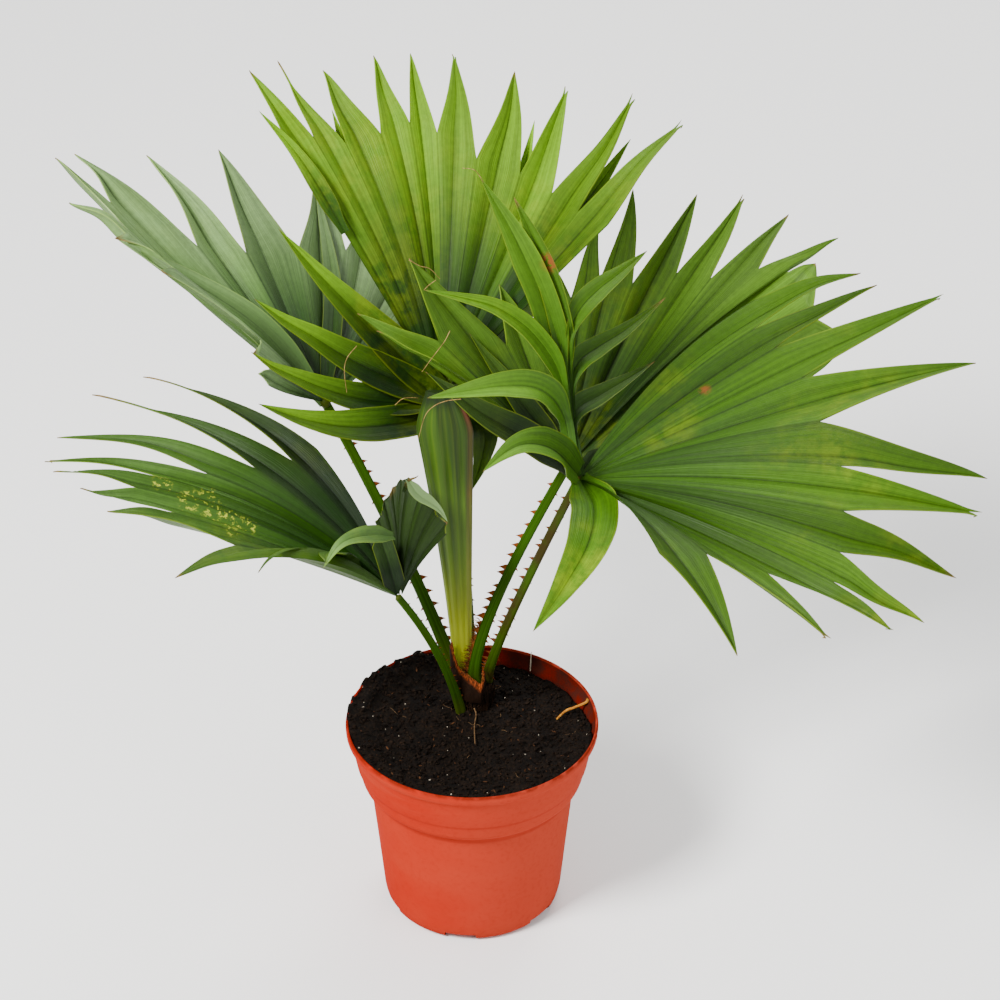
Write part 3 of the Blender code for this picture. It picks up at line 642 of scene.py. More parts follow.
# How much each mask of the leaf pattern brightens or darkens the blade. The midrib and fold masks darken the pleats'
# creases: painted shade.
LEAF_SHADES = (("Streaks", -0.28), ("Veins", -0.20), ("Mottle", 0.12), ("PaintedMidribShade", -0.32), ("PaintedFoldShade", -0.30))
TONE_STOPS = 1.0
TONE_REACH = 0.30  # how much of the tips' green a light segment takes on


def mark_mask(nodes, place, centre, radius, grain, cover):
    """Ragged specks within a radius of a place."""
    apart = nodes.add("ShaderNodeVectorMath", operation="DISTANCE")
    nodes.link(place, apart.inputs[0])
    apart.inputs[1].default_value = centre
    near = nodes.math("SUBTRACT", 1.0, nodes.ramp(apart.outputs["Value"], radius * 0.35, radius))
    return nodes.math("MULTIPLY", near, nodes.ramp(nodes.noise(place, grain, 4.0, 0.7), cover, cover + 0.08))


def blade_material(name, leaf, settings, under=False):
    """Leaf surface with veins, painted shade in its folds and along the midrib, painted shade at the hub and painted
    light towards the tips, painted sheen, light margins, yellow patches, marks and dry tips.
    """
    near, far, patches, haze, rough = LEAF_FINISH[leaf]
    material, nodes, shader = new_material(name)
    place = nodes.add("ShaderNodeTexCoord").outputs["Object"]
    along = nodes.add("ShaderNodeUVMap", uv_map="UVMap").outputs["UV"]
    dry, tone, painted_sheen, free = (
        nodes.add("ShaderNodeAttribute", attribute_name=key).outputs["Fac"] for key in LEAF_VALUES
    )
    pattern = nodes.add("ShaderNodeGroup", node_tree=blade_pattern_group())
    for source, name in ((place, "Place"), (along, "Along"), (free, "Free")):
        nodes.link(source, pattern.inputs[name])
    get = pattern.outputs

    def lay(base, mask, share, colour):
        return nodes.mix(nodes.math("MULTIPLY", mask, share, clamp=True), base, colour)

    shade = 1.0
    for mask, share in LEAF_SHADES:
        shade = nodes.math("ADD", shade, nodes.math("MULTIPLY", get[mask], share))
    shade = nodes.math("MULTIPLY", shade, nodes.math("POWER", 2.0, nodes.math("MULTIPLY", tone, TONE_STOPS)))
    # Painted shade and light: dark green at the hub turning to light green at the tips, then a painted pale sheen over
    # the tips
    reach = nodes.math("ADD", nodes.math("POWER", get["Reach"], 1.5), nodes.math("MULTIPLY", tone, TONE_REACH), clamp=True)
    base = nodes.mix(reach, near, far)
    base = lay(base, nodes.math("MULTIPLY", get["Reach"], get["Reach"]), haze, tuple(settings.sheen))
    base = lay(base, get["Patches"], patches, tuple(settings.yellow))
    base = nodes.scale(base, shade)
    base = lay(base, get["Margin"], 0.22, tuple(settings.yellow))
    if under:
        base = nodes.mix(0.45, base, tuple(settings.underside))
    # Painted sheen: pale highlights on the glossy leaflets.
    base = lay(base, painted_sheen, 0.55, tuple(settings.sheen))
    for *mark, colour in LEAF_MARKS.get(leaf, ()):
        base = lay(base, mark_mask(nodes, place, *mark), 0.85, colour)
    withered = tuple(settings.dry_colour)
    base = nodes.mix(dry, base, nodes.mix(get["Mottle"], withered, tuple(c * 0.4 for c in withered)))
    nodes.link(base, shader.inputs["Base Color"])
    roughness = nodes.math("ADD", rough, nodes.math("MULTIPLY", get["Veins"], 0.12))
    nodes.link(nodes.math("ADD", roughness, nodes.math("MULTIPLY", dry, 0.35), clamp=True), shader.inputs["Roughness"])
    shader.inputs["Specular IOR Level"].default_value = LEAF_SPECULAR
    bump(nodes, shader, get["Veins"], 0.40, 0.0003)
    return material


def stalk_material(name, settings, redden=0.0):
    """Stalk skin: fine lines along it, browner at the foot and in places."""
    material, nodes, shader = new_material(name)
    place = nodes.add("ShaderNodeTexCoord").outputs["Object"]
    along = nodes.add("ShaderNodeUVMap", uv_map="UVMap").outputs["UV"]
    lines = nodes.noise(nodes.stretch(along, (24.0, 1.2, 1.0)), 1.0, 2.0)
    blotch = nodes.noise(place, 45.0, 3.0)
    split = nodes.add("ShaderNodeSeparateXYZ")
    nodes.link(along, split.inputs[0])
    foot = nodes.math("SUBTRACT", 1.0, nodes.ramp(split.outputs[1], 0.0, 0.22))
    green = tuple(settings.colour)
    base = nodes.mix(nodes.ramp(lines, 0.35, 0.65), green, tuple(c * 1.7 for c in green))
    brown = nodes.math("MULTIPLY", nodes.math("ADD", 0.45, nodes.ramp(blotch, 0.40, 0.66)), redden * 0.8, clamp=True)
    base = nodes.mix(brown, base, (0.026, 0.020, 0.003))
    base = nodes.mix(nodes.math("MULTIPLY", foot, 0.50), base, (0.060, 0.060, 0.010))
    nodes.link(base, shader.inputs["Base Color"])
    nodes.link(nodes.math("ADD", 0.36, nodes.math("MULTIPLY", lines, 0.2)), shader.inputs["Roughness"])
    shader.inputs["Specular IOR Level"].default_value = LEAF_SPECULAR
    shader.inputs["IOR"].default_value = STALK_IOR
    bump(nodes, shader, lines, 0.4, 0.0003)
    return material


def spine_material(name, settings, darken):
    """Spines: mottled brown, darker on the browner stalks."""
    material, nodes, shader = new_material(name + "_spines")
    place = nodes.add("ShaderNodeTexCoord").outputs["Object"]
    mottle = nodes.noise(place, 600.0, 2.0)
    colour = tuple(c * (1 - 0.55 * darken) for c in settings.spine_colour)
    nodes.link(nodes.mix(mottle, colour, tuple(c * 0.35 for c in colour)), shader.inputs["Base Color"])
    nodes.link(nodes.math("ADD", 0.35, nodes.math("MULTIPLY", mottle, 0.3)), shader.inputs["Roughness"])
    shader.inputs["Specular IOR Level"].default_value = LEAF_SPECULAR
    shader.inputs["IOR"].default_value = STALK_IOR
    return material


def plastic_material(settings):
    """Matte moulded plastic: chalky haze, level streaks under the rim, a redder foot, painted shade in the creases
    under the collar's steps and painted side light, deeper on the left and paler on the right.
    """
    material, nodes, shader = new_material("terracotta_plastic")
    place = nodes.add("ShaderNodeTexCoord").outputs["Object"]
    haze = nodes.ramp(nodes.noise(nodes.stretch(place, (1.0, 1.0, 2.0)), 22.0, 5.0, 0.62), 0.38, 0.70)
    fine = nodes.noise(place, 420.0, 3.0)
    streak = nodes.ramp(nodes.noise(nodes.stretch(place, (14.0, 14.0, 150.0)), 1.0, 3.0), 0.50, 0.68)
    split = nodes.add("ShaderNodeSeparateXYZ")
    nodes.link(place, split.inputs[0])
    height = split.outputs[2]
    collar = nodes.ramp(height, 0.074, 0.082)
    colour = tuple(settings.colour)
    # The mask named chalky here is painted side light: across x the wall is deeper and more saturated on the left and
    # paler on the right.
    chalky = nodes.ramp(split.outputs[0], -0.055, 0.060)
    body = nodes.math("MULTIPLY", nodes.ramp(height, 0.022, 0.050), nodes.math("SUBTRACT", 1.0, collar))
    base = nodes.mix(nodes.math("MULTIPLY", haze, 0.48), colour, tuple(settings.haze))
    base = nodes.mix(nodes.math("MULTIPLY", body, 0.30), base, tuple(settings.haze))
    base = nodes.mix(nodes.math("MULTIPLY", chalky, 0.75), nodes.mix(0.35, base, colour), (0.375, 0.050, 0.026))
    base = nodes.mix(nodes.math("MULTIPLY", nodes.math("MULTIPLY", collar, streak), 0.60), base, (0.35, 0.034, 0.016))
    # Painted shade: dark red bands in the creases under the collar's two steps.
    for low, high in ((0.0715, 0.0775), (0.0858, 0.0892)):
        painted_step_shade = nodes.math("MULTIPLY", nodes.ramp(height, low, low + 0.002),
                          nodes.math("SUBTRACT", 1.0, nodes.ramp(height, high - 0.002, high)))
        base = nodes.mix(nodes.math("MULTIPLY", painted_step_shade, 0.55), base, (0.250, 0.014, 0.006))
    foot = nodes.math("SUBTRACT", 1.0, nodes.ramp(height, 0.0, 0.012))
    base = nodes.mix(nodes.math("MULTIPLY", foot, 0.40), base, (0.30, 0.030, 0.014))
    base = nodes.mix(nodes.math("MULTIPLY", nodes.ramp(fine, 0.45, 0.75), 0.16), base, tuple(c * 0.6 for c in colour))
    stain = nodes.math("MULTIPLY", nodes.ramp(height, 0.1095, 0.1116), nodes.ramp(nodes.noise(place, 160.0), 0.25, 0.60))
    base = nodes.mix(nodes.math("MULTIPLY", stain, 0.75), base, (0.110, 0.008, 0.003))
    nodes.link(base, shader.inputs["Base Color"])
    nodes.link(nodes.math("ADD", 0.45, nodes.math("MULTIPLY", haze, 0.2)), shader.inputs["Roughness"])
    shader.inputs["Specular IOR Level"].default_value = PLASTIC_SPECULAR
    shader.inputs["IOR"].default_value = PLASTIC_IOR
    bump(nodes, shader, fine, 0.15, 0.0003)
    return material


def inner_plastic_material(settings):
    """The pot's inner wall, stained by wet peat."""
    material, nodes, shader = new_material("stained_plastic")
    place = nodes.add("ShaderNodeTexCoord").outputs["Object"]
    stain = nodes.ramp(nodes.noise(place, 80.0, 5.0, 0.65), 0.35, 0.65)
    colour = tuple(c * 0.34 for c in settings.colour)
    nodes.link(nodes.mix(nodes.math("MULTIPLY", stain, 0.85), colour, (0.035, 0.012, 0.008)), shader.inputs["Base Color"])
    nodes.link(nodes.math("ADD", 0.5, nodes.math("MULTIPLY", stain, 0.3)), shader.inputs["Roughness"])
    shader.inputs["Specular IOR Level"].default_value = PLASTIC_SPECULAR
    shader.inputs["IOR"].default_value = STALK_IOR
    bump(nodes, shader, stain, 0.3, 0.0004)
    return material


def peat_material(name, dark, light):
    material, nodes, shader = new_material(name)
    place = nodes.add("ShaderNodeTexCoord").outputs["Object"]
    grain = nodes.noise(place, 700.0, 4.0, 0.65)
    clump = nodes.noise(place, 120.0, 3.0)
    base = nodes.mix(nodes.ramp(grain, 0.35, 0.70), dark, light)
    base = nodes.mix(nodes.math("MULTIPLY", nodes.ramp(clump, 0.4, 0.7), 0.6), base, tuple(c * 0.5 for c in dark))
    nodes.link(base, shader.inputs["Base Color"])
    nodes.link(nodes.math("ADD", 0.72, nodes.math("MULTIPLY", grain, 0.25)), shader.inputs["Roughness"])
    shader.inputs["Specular IOR Level"].default_value = PEAT_SPECULAR
    bump(nodes, shader, grain, 0.8, 0.0008)
    return material


def fibre_material(name, dark, light):
    material, nodes, shader = new_material(name)
    place = nodes.add("ShaderNodeTexCoord").outputs["Object"]
    strand = nodes.noise(nodes.stretch(place, (900.0, 900.0, 60.0)), 1.0, 3.0)
    nodes.link(nodes.mix(nodes.ramp(strand, 0.3, 0.7), dark, light), shader.inputs["Base Color"])
    nodes.link(nodes.math("ADD", 0.6, nodes.math("MULTIPLY", strand, 0.3)), shader.inputs["Roughness"])
    shader.inputs["Specular IOR Level"].default_value = PEAT_SPECULAR
    bump(nodes, shader, strand, 0.8, 0.0006)
    return material


# Leaf shapes


class Ribs:
    """Directions and reaches of a fan's segments, smooth from one to the next."""

    def __init__(self, leaf):
        self.values = []
        for azimuth, elevation, *rest in leaf["ribs"]:
            a, e = math.radians(azimuth), math.radians(elevation)
            unit = (math.cos(e) * math.cos(a), math.cos(e) * math.sin(a), math.sin(e))
            self.values.append(Vector((*unit, *rest)))
        self.segments = len(self.values)

    def slope(self, k):
        low, high = max(k - 1, 0), min(k + 1, self.segments - 1)
        return (self.values[high] - self.values[low]) / (high - low)

    def value(self, mark):
        """Direction, reach, parting share and arch at a place along the fan, counted in segments."""
        last = self.segments - 1
        if mark <= 0 or mark >= last:
            end = 0 if mark <= 0 else last
            return self.values[end] + (mark - end) * self.slope(end)
        k = int(mark)
        t = mark - k
        value = self.values[k] * (2 * t**3 - 3 * t**2 + 1) + self.values[k + 1] * (3 * t**2 - 2 * t**3)
        return value + self.slope(k) * (t**3 - 2 * t**2 + t) + self.slope(k + 1) * (t**3 - t**2)

    def at(self, mark):
        """Unit direction, reach and parting share at a place along the fan."""
        value = self.value(mark)
        return value.to_3d().normalized(), value[3], value[4]

    def normal(self, mark, step=0.35):
        ahead, behind = self.at(mark + step)[0], self.at(mark - step)[0]
        return (ahead - behind).cross(self.at(mark)[0]).normalized()


class Fan:
    """A pleated fan blade: its middle surface, its pleats and the outline of its segments."""

    def __init__(self, leaf, fold):
        self.hub = Vector(leaf["hub"])
        self.fold = fold
        self.round = leaf.get("round", False)
        self.threads = leaf.get("threads", {})
        self.tones = leaf.get("tones", {})
        self.ribs = Ribs(leaf)
        middle = self.ribs.normal((self.ribs.segments - 1) / 2)
        self.side = 1.0 if middle.z > 0 else -1.0

    def normal(self, mark):
        return self.ribs.normal(mark) * self.side

    def surface(self, mark, share):
        direction, reach, _ = self.ribs.at(mark)
        lift = self.ribs.value(mark)[5] * 4 * share * (1 - share) * reach
        return self.hub + direction * (share * reach) + self.normal(mark) * lift

    def neighbours(self, boundary):
        return [k for k in (boundary - 1, boundary) if 0 <= k < self.ribs.segments]

    def parting(self, boundary):
        ends = [math.prod(self.ribs.at(k)[1:]) for k in self.neighbours(boundary)]
        return sum(ends) / len(ends) if self.round else min(ends)

    def edge_point(self, boundary, row):
        """Where two segments meet, at a share of the way to where they part, raised by the fold."""
        mark = boundary - 0.5
        distance = row * self.parting(boundary)
        place = self.surface(mark, distance / self.ribs.at(mark)[1])
        ribs = [self.surface(k, distance / self.ribs.at(k)[1]) for k in self.neighbours(boundary)]
        return place + self.normal(mark) * self.fold * min((place - rib).length for rib in ribs)


JOINED_ROWS = 16
FREE_ROWS = 28
HALF_COLUMNS = 4
CLOSING = 0.45  # how far a segment folds shut towards its tip
THREAD_WIDTH = 0.05
LEAF_VALUES = ("dry", "tone", "painted_sheen", "free")


def leaf_layers(bm):
    """The layer of UVs, and one layer for each value that the leaf's material reads."""
    return bm.loops.layers.uv.new("UVMap"), {key: bm.verts.layers.float.new(key) for key in LEAF_VALUES}


def taper(t):
    """Width left at a share of a leaflet's free length: nearly straight sides."""
    t = min(1.0, max(0.0, t))
    return (1 - t) ** 0.92 * (1 + 0.12 * t)


class Segment:
    """One pleat of a fan, from the hub to its pointed and sometimes cleft tip."""

    def __init__(self, fan, k, dice):
        self.fan, self.k = fan, k
        self.direction, self.reach, self.part = fan.ribs.at(k)
        self.normal = fan.normal(k)
        self.across = self.direction.cross(fan.ribs.normal(k)).normalized()
        cleft = dice.random() < 0.3
        self.cleft = dice.uniform(0.88, 0.95) if cleft else 1.0
        self.gap = dice.uniform(0.004, 0.010) * self.reach if cleft else 0.0
        self.dry = dice.choice((0.006, 0.010, 0.014, 0.035))
        self.offset = dice.randrange(1, 90)
        self.tone = dice.uniform(-0.35, 0.35)
        self.sway = dice.uniform(-0.012, 0.012) * self.reach
        self.lift = dice.uniform(-0.010, 0.014) * self.reach
        self.wave = dice.uniform(0, 2 * math.pi)
        self.tone = fan.tones.get(k, self.tone)
        self.thread = fan.threads.get(k, 0.0)
        if self.thread:
            self.cleft, self.gap = 1.0, 0.0
            self.dry = self.thread * (1 - self.part)

    def width(self, free):
        """Width left at a share of the free length: a pointed tip, or a body that ends in a thread."""
        body = taper(free / (1 - self.thread))
        return max(body, THREAD_WIDTH) if self.thread else body

    def bend(self, free):
        """Small sway of the free part, nothing at the parting and at the tip's place in the outline."""
        weight = math.sin(math.pi * min(1.0, free)) ** 2
        ripple = 0.0015 * self.reach * math.sin(7 * free + self.wave) * free
        return self.across * (self.sway * weight) + self.normal * (self.lift * weight + ripple)

    def free_side(self, side, free):
        """The free part's edge at a share of its length, straight from the parting to the tip."""
        boundary = self.k if side < 0 else self.k + 1
        start = self.fan.parting(boundary)
        distance = start + (self.reach - start) * free
        parting = self.fan.edge_point(boundary, 1.0) - self.fan.surface(self.k, start / self.reach)
        parting = parting * (1 - 0.12 * free) + self.normal * (parting.length * CLOSING * free)
        return self.fan.surface(self.k, distance / self.reach) + parting * self.width(free)

    def middle(self, free):
        return self.fan.surface(self.k, self.part + (1 - self.part) * free)


def grow_segment(bm, layers, fan, k, columns, dice):
    """Adds one segment's faces between the shared columns of vertices at its two folds."""
    uv, values = layers
    segment = Segment(fan, k, dice)
    rows = []

    def vertex(place, share):
        made = bm.verts.new(place)
        made[values["dry"]] = smooth_step((share - (1 - segment.dry)) / segment.dry)
        made[values["tone"]] = segment.tone
        made[values["free"]] = max(0.0, (share - segment.part) / (1 - segment.part))
        return made

    def across_row(left, right, mids, share):
        """A row from the left edge to the right one. Edges are vertices; mids are one or two places."""
        row = []
        for side, edge in ((-1, left), (1, right)):
            mid_place = mids[0] if side < 0 else mids[-1]
            half = []
            for c in range(1, HALF_COLUMNS):
                u = c / HALF_COLUMNS
                place = mid_place.lerp(edge.co, u)
                bulge = (edge.co - mid_place).length * 0.22 * u * (1 - u)
                half.append((vertex(place + segment.normal * bulge, share), u))
            row.append((edge, half))
        left_mid = vertex(mids[0], share)
        right_mid = left_mid if len(mids) == 1 else vertex(mids[1], share)
        left_part = [(row[0][0], 0.0)] + [(v, 0.5 - 0.5 * u) for v, u in reversed(row[0][1])] + [(left_mid, 0.5)]
        right_part = [(right_mid, 0.5)] + [(v, 0.5 + 0.5 * u) for v, u in row[1][1]] + [(row[1][0], 1.0)]
        return left_part, right_part, share

    for i in range(JOINED_ROWS):
        share = segment.part * (i + 1) / JOINED_ROWS
        mid = fan.surface(k, share)
        rows.append(across_row(columns[k][i], columns[k + 1][i], [mid], share))
    for i in range(1, FREE_ROWS):
        free = i / FREE_ROWS
        share = segment.part + (1 - segment.part) * free
        offset = segment.bend(free)
        mid = segment.middle(free) + offset
        left_place, right_place = (segment.free_side(s, free) for s in (-1, 1))
        mids = [mid]
        apart = Vector()
        if free > segment.cleft:
            open_share = (free - segment.cleft) / (1 - segment.cleft)
            apart = segment.across * (segment.gap * open_share**1.3)
            mids = [mid - apart, mid + apart]
        left = vertex(left_place + offset - apart, share)
        right = vertex(right_place + offset + apart, share)
        rows.append(across_row(left, right, mids, share))
    tip = segment.middle(1.0)
    tips = [vertex(tip, 1.0)] * 2
    if segment.gap:
        apart = segment.across * segment.gap
        tips = [vertex(tip - apart, 1.0), vertex(tip - segment.direction * 0.02 * segment.reach + apart, 1.0)]

    def face(corners):
        unique = list(dict.fromkeys(corners))
        made = bm.faces.new([c[0] for c in unique])
        for loop, (_, (across, share)) in zip(made.loops, unique):
            loop[uv].uv = (segment.offset + across, share)

    hub = columns["hub"]
    first_left, first_right, first_share = rows[0]
    for half in (first_left, first_right):
        for (a, ua), (b, ub) in zip(half, half[1:]):
            face([(hub, ((ua + ub) / 2, 0.0)), (b, (ub, first_share)), (a, (ua, first_share))])
    for (low, high) in zip(rows, rows[1:]):
        for side in (0, 1):
            for (a, b), (c, d) in zip(zip(low[side], low[side][1:]), zip(high[side], high[side][1:])):
                face([(a[0], (a[1], low[2])), (b[0], (b[1], low[2])), (d[0], (d[1], high[2])), (c[0], (c[1], high[2]))])
    last = rows[-1]
    for side in (0, 1):
        for (a, ua), (b, ub) in zip(last[side], last[side][1:]):
            face([(a, (ua, last[2])), (b, (ub, last[2])), (tips[side], ((ua + ub) / 2, 1.0))])


def smooth_path(points, t):
    """A place on the smooth curve through the points, and the direction there."""
    spot = t * (len(points) - 1)
    k = min(int(spot), len(points) - 2)
    u = spot - k
    p1, p2 = points[k], points[k + 1]
    p0 = points[k - 1] if k else p1 * 2 - p2
    p3 = points[k + 2] if k + 2 < len(points) else p2 * 2 - p1
    a, b, c = (p2 - p0) / 2, p0 - p1 * 2.5 + p2 * 2 - p3 / 2, (p3 - p0) / 2 + (p1 - p2) * 1.5
    return p1 + a * u + b * u**2 + c * u**3, (a + b * (2 * u) + c * (3 * u**2)).normalized()


LEAFLET_ROWS = 44
LEAFLET_FACING = Vector((0.0, -0.6, 0.8))
PATH_STEPS = 400


def grow_leaflet(bm, layers, leaflet, fold, dice, facing=LEAFLET_FACING):
    """Adds one single leaflet: a folded strip along its path that widens where it comes free."""
    uv, values = layers
    points = [Vector(p) for p in leaflet.path]
    samples = [smooth_path(points, step / PATH_STEPS) for step in range(PATH_STEPS + 1)]
    lengths = [0.0]
    for (before, _), (after, _) in zip(samples, samples[1:]):
        lengths.append(lengths[-1] + (after - before).length)
    start = lengths[round(leaflet.free / (len(points) - 1) * PATH_STEPS)] / lengths[-1]
    wave, offset = dice.uniform(0, 2 * math.pi), dice.randrange(1, 90)
    rows = []
    for i in range(LEAFLET_ROWS + 1):
        t = i / LEAFLET_ROWS
        place, along = samples[min(bisect.bisect_left(lengths, t * lengths[-1]), PATH_STEPS)]
        across = along.cross(facing).normalized()
        up = across.cross(along).normalized()
        free = max(0.0, (t - start) / (1 - start))
        beyond = max(0.0, (free - leaflet.full) / (1 - leaflet.full))
        spread = leaflet.base + (1 - leaflet.base) * smooth_step(free / 0.25)
        width = leaflet.half_width * spread * (1 - beyond**1.3)
        place = place + up * (0.0006 * math.sin(8 * t + wave))
        row = []
        for c in range(-HALF_COLUMNS, HALF_COLUMNS + 1):
            u = c / HALF_COLUMNS
            if i == LEAFLET_ROWS and c:
                continue
            rise = fold * abs(u) + 0.22 * abs(u) * (1 - abs(u))
            made = bm.verts.new(place + (across * u + up * rise) * width)
            made[values["dry"]] = smooth_step((t - (1 - leaflet.dry)) / leaflet.dry)
            made[values["tone"]] = leaflet.tone + leaflet.split * max(-1.0, min(1.0, u * HALF_COLUMNS))
            made[values["painted_sheen"]] = leaflet.painted_sheen
            made[values["free"]] = free
            row.append((made, (offset + 0.5 + 0.5 * u, t)))
        rows.append(row)

    def face(corners):
        made = bm.faces.new([c[0] for c in corners])
        for loop, corner in zip(made.loops, corners):
            loop[uv].uv = corner[1]

    for low, high in zip(rows, rows[1:]):
        for a, b, c, d in zip(low, low[1:], high, high[1:]):
            if len(high) > 1:
                face((a, b, d, c))
    for a, b in zip(rows[-2], rows[-2][1:]):
        face((a, b, rows[-1][0]))


def leaf_sheet(name, settings):
    """One leaf as a thin pleated sheet with single leaflets, and UVs along each segment."""
    dice = random.Random(name)
    bm = bmesh.new()
    layers = leaf_layers(bm)
    if name in LEAVES:
        fan = Fan(LEAVES[name], settings.fold)
        columns = {"hub": bm.verts.new(fan.hub)}
        for j in range(fan.ribs.segments + 1):
            columns[j] = [bm.verts.new(fan.edge_point(j, (i + 1) / JOINED_ROWS)) for i in range(JOINED_ROWS)]
        for k in range(fan.ribs.segments):
            grow_segment(bm, layers, fan, k, columns, dice)
        if fan.side < 0:
            bmesh.ops.reverse_faces(bm, faces=bm.faces)
    for leaflet in LEAFLETS[name]:
        grow_leaflet(bm, layers, leaflet, settings.fold, dice)
    return bm


def build_leaf(name, settings):
    upper = blade_material(name + "_upper", name, settings)
    lower = blade_material(name + "_under", name, settings, under=True)
    obj = piece(name + "_blade", leaf_sheet(name, settings), (upper, lower), (name,))
    apply_modifier(
        obj, "SOLIDIFY", thickness=settings.thickness, offset=0.0, material_offset=1, material_offset_rim=0
    )
    shade_by_angle(obj, 28)
    return obj


# Stalks


class Stalk:
    """Curve and section of a leaf stalk, as in the frame."""

    def __init__(self, name, fold):
        self.shape = STALKS[name]
        self.pointed = name == FRONT_STALK
        foot = self.shape.foot
        fan = Fan(LEAVES[self.shape.leaf], fold)
        foot_height = SOIL_TOP - 0.001 if name == LOW_STALK else CROWN_TOP - 0.001
        self.foot = Vector((CROWN_CENTRE.x + foot[0], CROWN_CENTRE.y + foot[1], foot_height))
        self.bend = (self.foot + fan.hub) / 2 + Vector(self.shape.bow) * 2
        self.top = fan.hub - (fan.hub - self.bend).normalized() * 0.0002

    def point(self, t):
        return bezier(self.foot, self.bend, self.top, t)

    def axes(self, t):
        along = (self.point(min(t + 0.01, 1)) - self.point(max(t - 0.01, 0))).normalized()
        across = along.cross(LEAFLET_FACING).normalized()
        return along, across, across.cross(along).normalized()

    def half_widths(self, t):
        swell = 0.45 * (1 - t) + 0.55 * (1 - t) ** 3
        point = min(1.0, 0.15 + 14 * t) * (1 + FOOT_FLARE * smooth_step(1 - t / 0.28)) if self.pointed else 1.0
        return [self.shape.width * point * (tip + (foot - tip) * swell) for foot, tip in zip(STALK_FOOT, STALK_TIP)]


def tube(bm, uv, points, frames, widths, sides, material_index=0, grooved=0.0):
    """A closed tube through points, with UVs round and along it."""
    rings = []
    for place, (across, through), (wide, deep) in zip(points, frames, widths):
        ring = []
        for side in range(sides):
            angle = 2 * math.pi * side / sides
            groove = 1 - grooved * max(0.0, math.sin(angle)) ** 6
            corner = place + across * (wide * math.cos(angle)) + through * (deep * groove * math.sin(angle))
            ring.append(bm.verts.new(corner))
        rings.append(ring)
    count = len(rings)
    for k, (lower, upper) in enumerate(zip(rings, rings[1:])):
        for side in range(sides):
            after = (side + 1) % sides
            made = bm.faces.new((lower[side], lower[after], upper[after], upper[side]))
            made.material_index = material_index
            marks = ((side, k), (side + 1, k), (side + 1, k + 1), (side, k + 1))
            for loop, (round_mark, along_mark) in zip(made.loops, marks):
                loop[uv].uv = (round_mark / sides, along_mark / (count - 1))
    for ring in (rings[0], rings[-1]):
        cap = bm.faces.new(ring)
        cap.material_index = material_index
    return rings


def perpendicular(direction, hint):
    across = direction.cross(hint)
    if across.length < 1e-6:
        across = direction.cross(Vector((1.0, 0.0, 0.0)))
    across.normalize()
    return across, across.cross(direction).normalized()


def thin_strand(bm, uv, points, start_radius, end_radius, sides=5, material_index=0):
    """A thin round strand along a list of points."""
    frames, widths = [], []
    for k in range(len(points)):
        direction = (points[min(k + 1, len(points) - 1)] - points[max(k - 1, 0)]).normalized()
        frames.append(perpendicular(direction, Vector((0.0, 0.0, 1.0))))
        radius = start_radius + (end_radius - start_radius) * k / (len(points) - 1)
        widths.append((radius, radius))
    tube(bm, uv, points, frames, widths, sides, material_index)


def add_spine(bm, uv, root, outward, along, length, width):
    """A hooked spine: broad at its foot, bent down towards the stalk's foot."""
    points, frames, widths = [], [], []
    across, _ = perpendicular(outward, along)
    for share in (0.0, 0.35, 0.7, 1.0):
        drop = length * 0.45 * share**1.6
        points.append(root + outward * (length * share) - along * drop)
        frames.append((along, across))
        widths.append((max(width * (1 - share), 0.00008), max(width * 0.45 * (1 - share), 0.00006)))
    tube(bm, uv, points, frames, widths, 6, material_index=1)


def build_stalk(name, settings, fold):
    stalk = Stalk(name, fold)
    dice = random.Random(name)
    bm = bmesh.new()
    uv = bm.loops.layers.uv.new("UVMap")
    points, frames, widths = [], [], []
    for k in range(STALK_RINGS):
        t = k / (STALK_RINGS - 1)
        _, across, through = stalk.axes(t)
        points.append(stalk.point(t))
        frames.append((across, through))
        widths.append(stalk.half_widths(t))
    tube(bm, uv, points, frames, widths, STALK_SIDES, grooved=0.35)
    count = int((stalk.top - stalk.foot).length / (settings.spine_spacing * stalk.shape.gap))
    for side in (-1, 1):
        for k in range(count):
            t = 0.06 + 0.90 * (k + dice.uniform(0.2, 0.8)) / count
            along, across, _ = stalk.axes(t)
            outward = across * side
            inner = outward.x * (stalk.top.x - stalk.foot.x) < 0
            if not inner and dice.random() < 0.6:
                continue
            share = stalk.shape.spine * (1.1 - 0.45 * t) * dice.uniform(0.72, 1.05) * (1.0 if inner else 0.45)
            root = stalk.point(t) + outward * (stalk.half_widths(t)[0] - 0.0004)
            add_spine(bm, uv, root, outward, along, settings.spine_length * share, 0.0020 * share)
    knob = Matrix.Translation(stalk.top)
    bmesh.ops.create_icosphere(bm, subdivisions=3, radius=stalk.shape.knob, matrix=knob)
    skin = stalk_material(name + "_skin", settings, stalk.shape.brown)
    bmesh.ops.recalc_face_normals(bm, faces=bm.faces)
    obj = piece(name + "_spiny", bm, (skin, spine_material(name, settings, stalk.shape.brown)), (name,))
    shade_by_angle(obj, 50)
    return obj


# Spear, crown, peat, pot


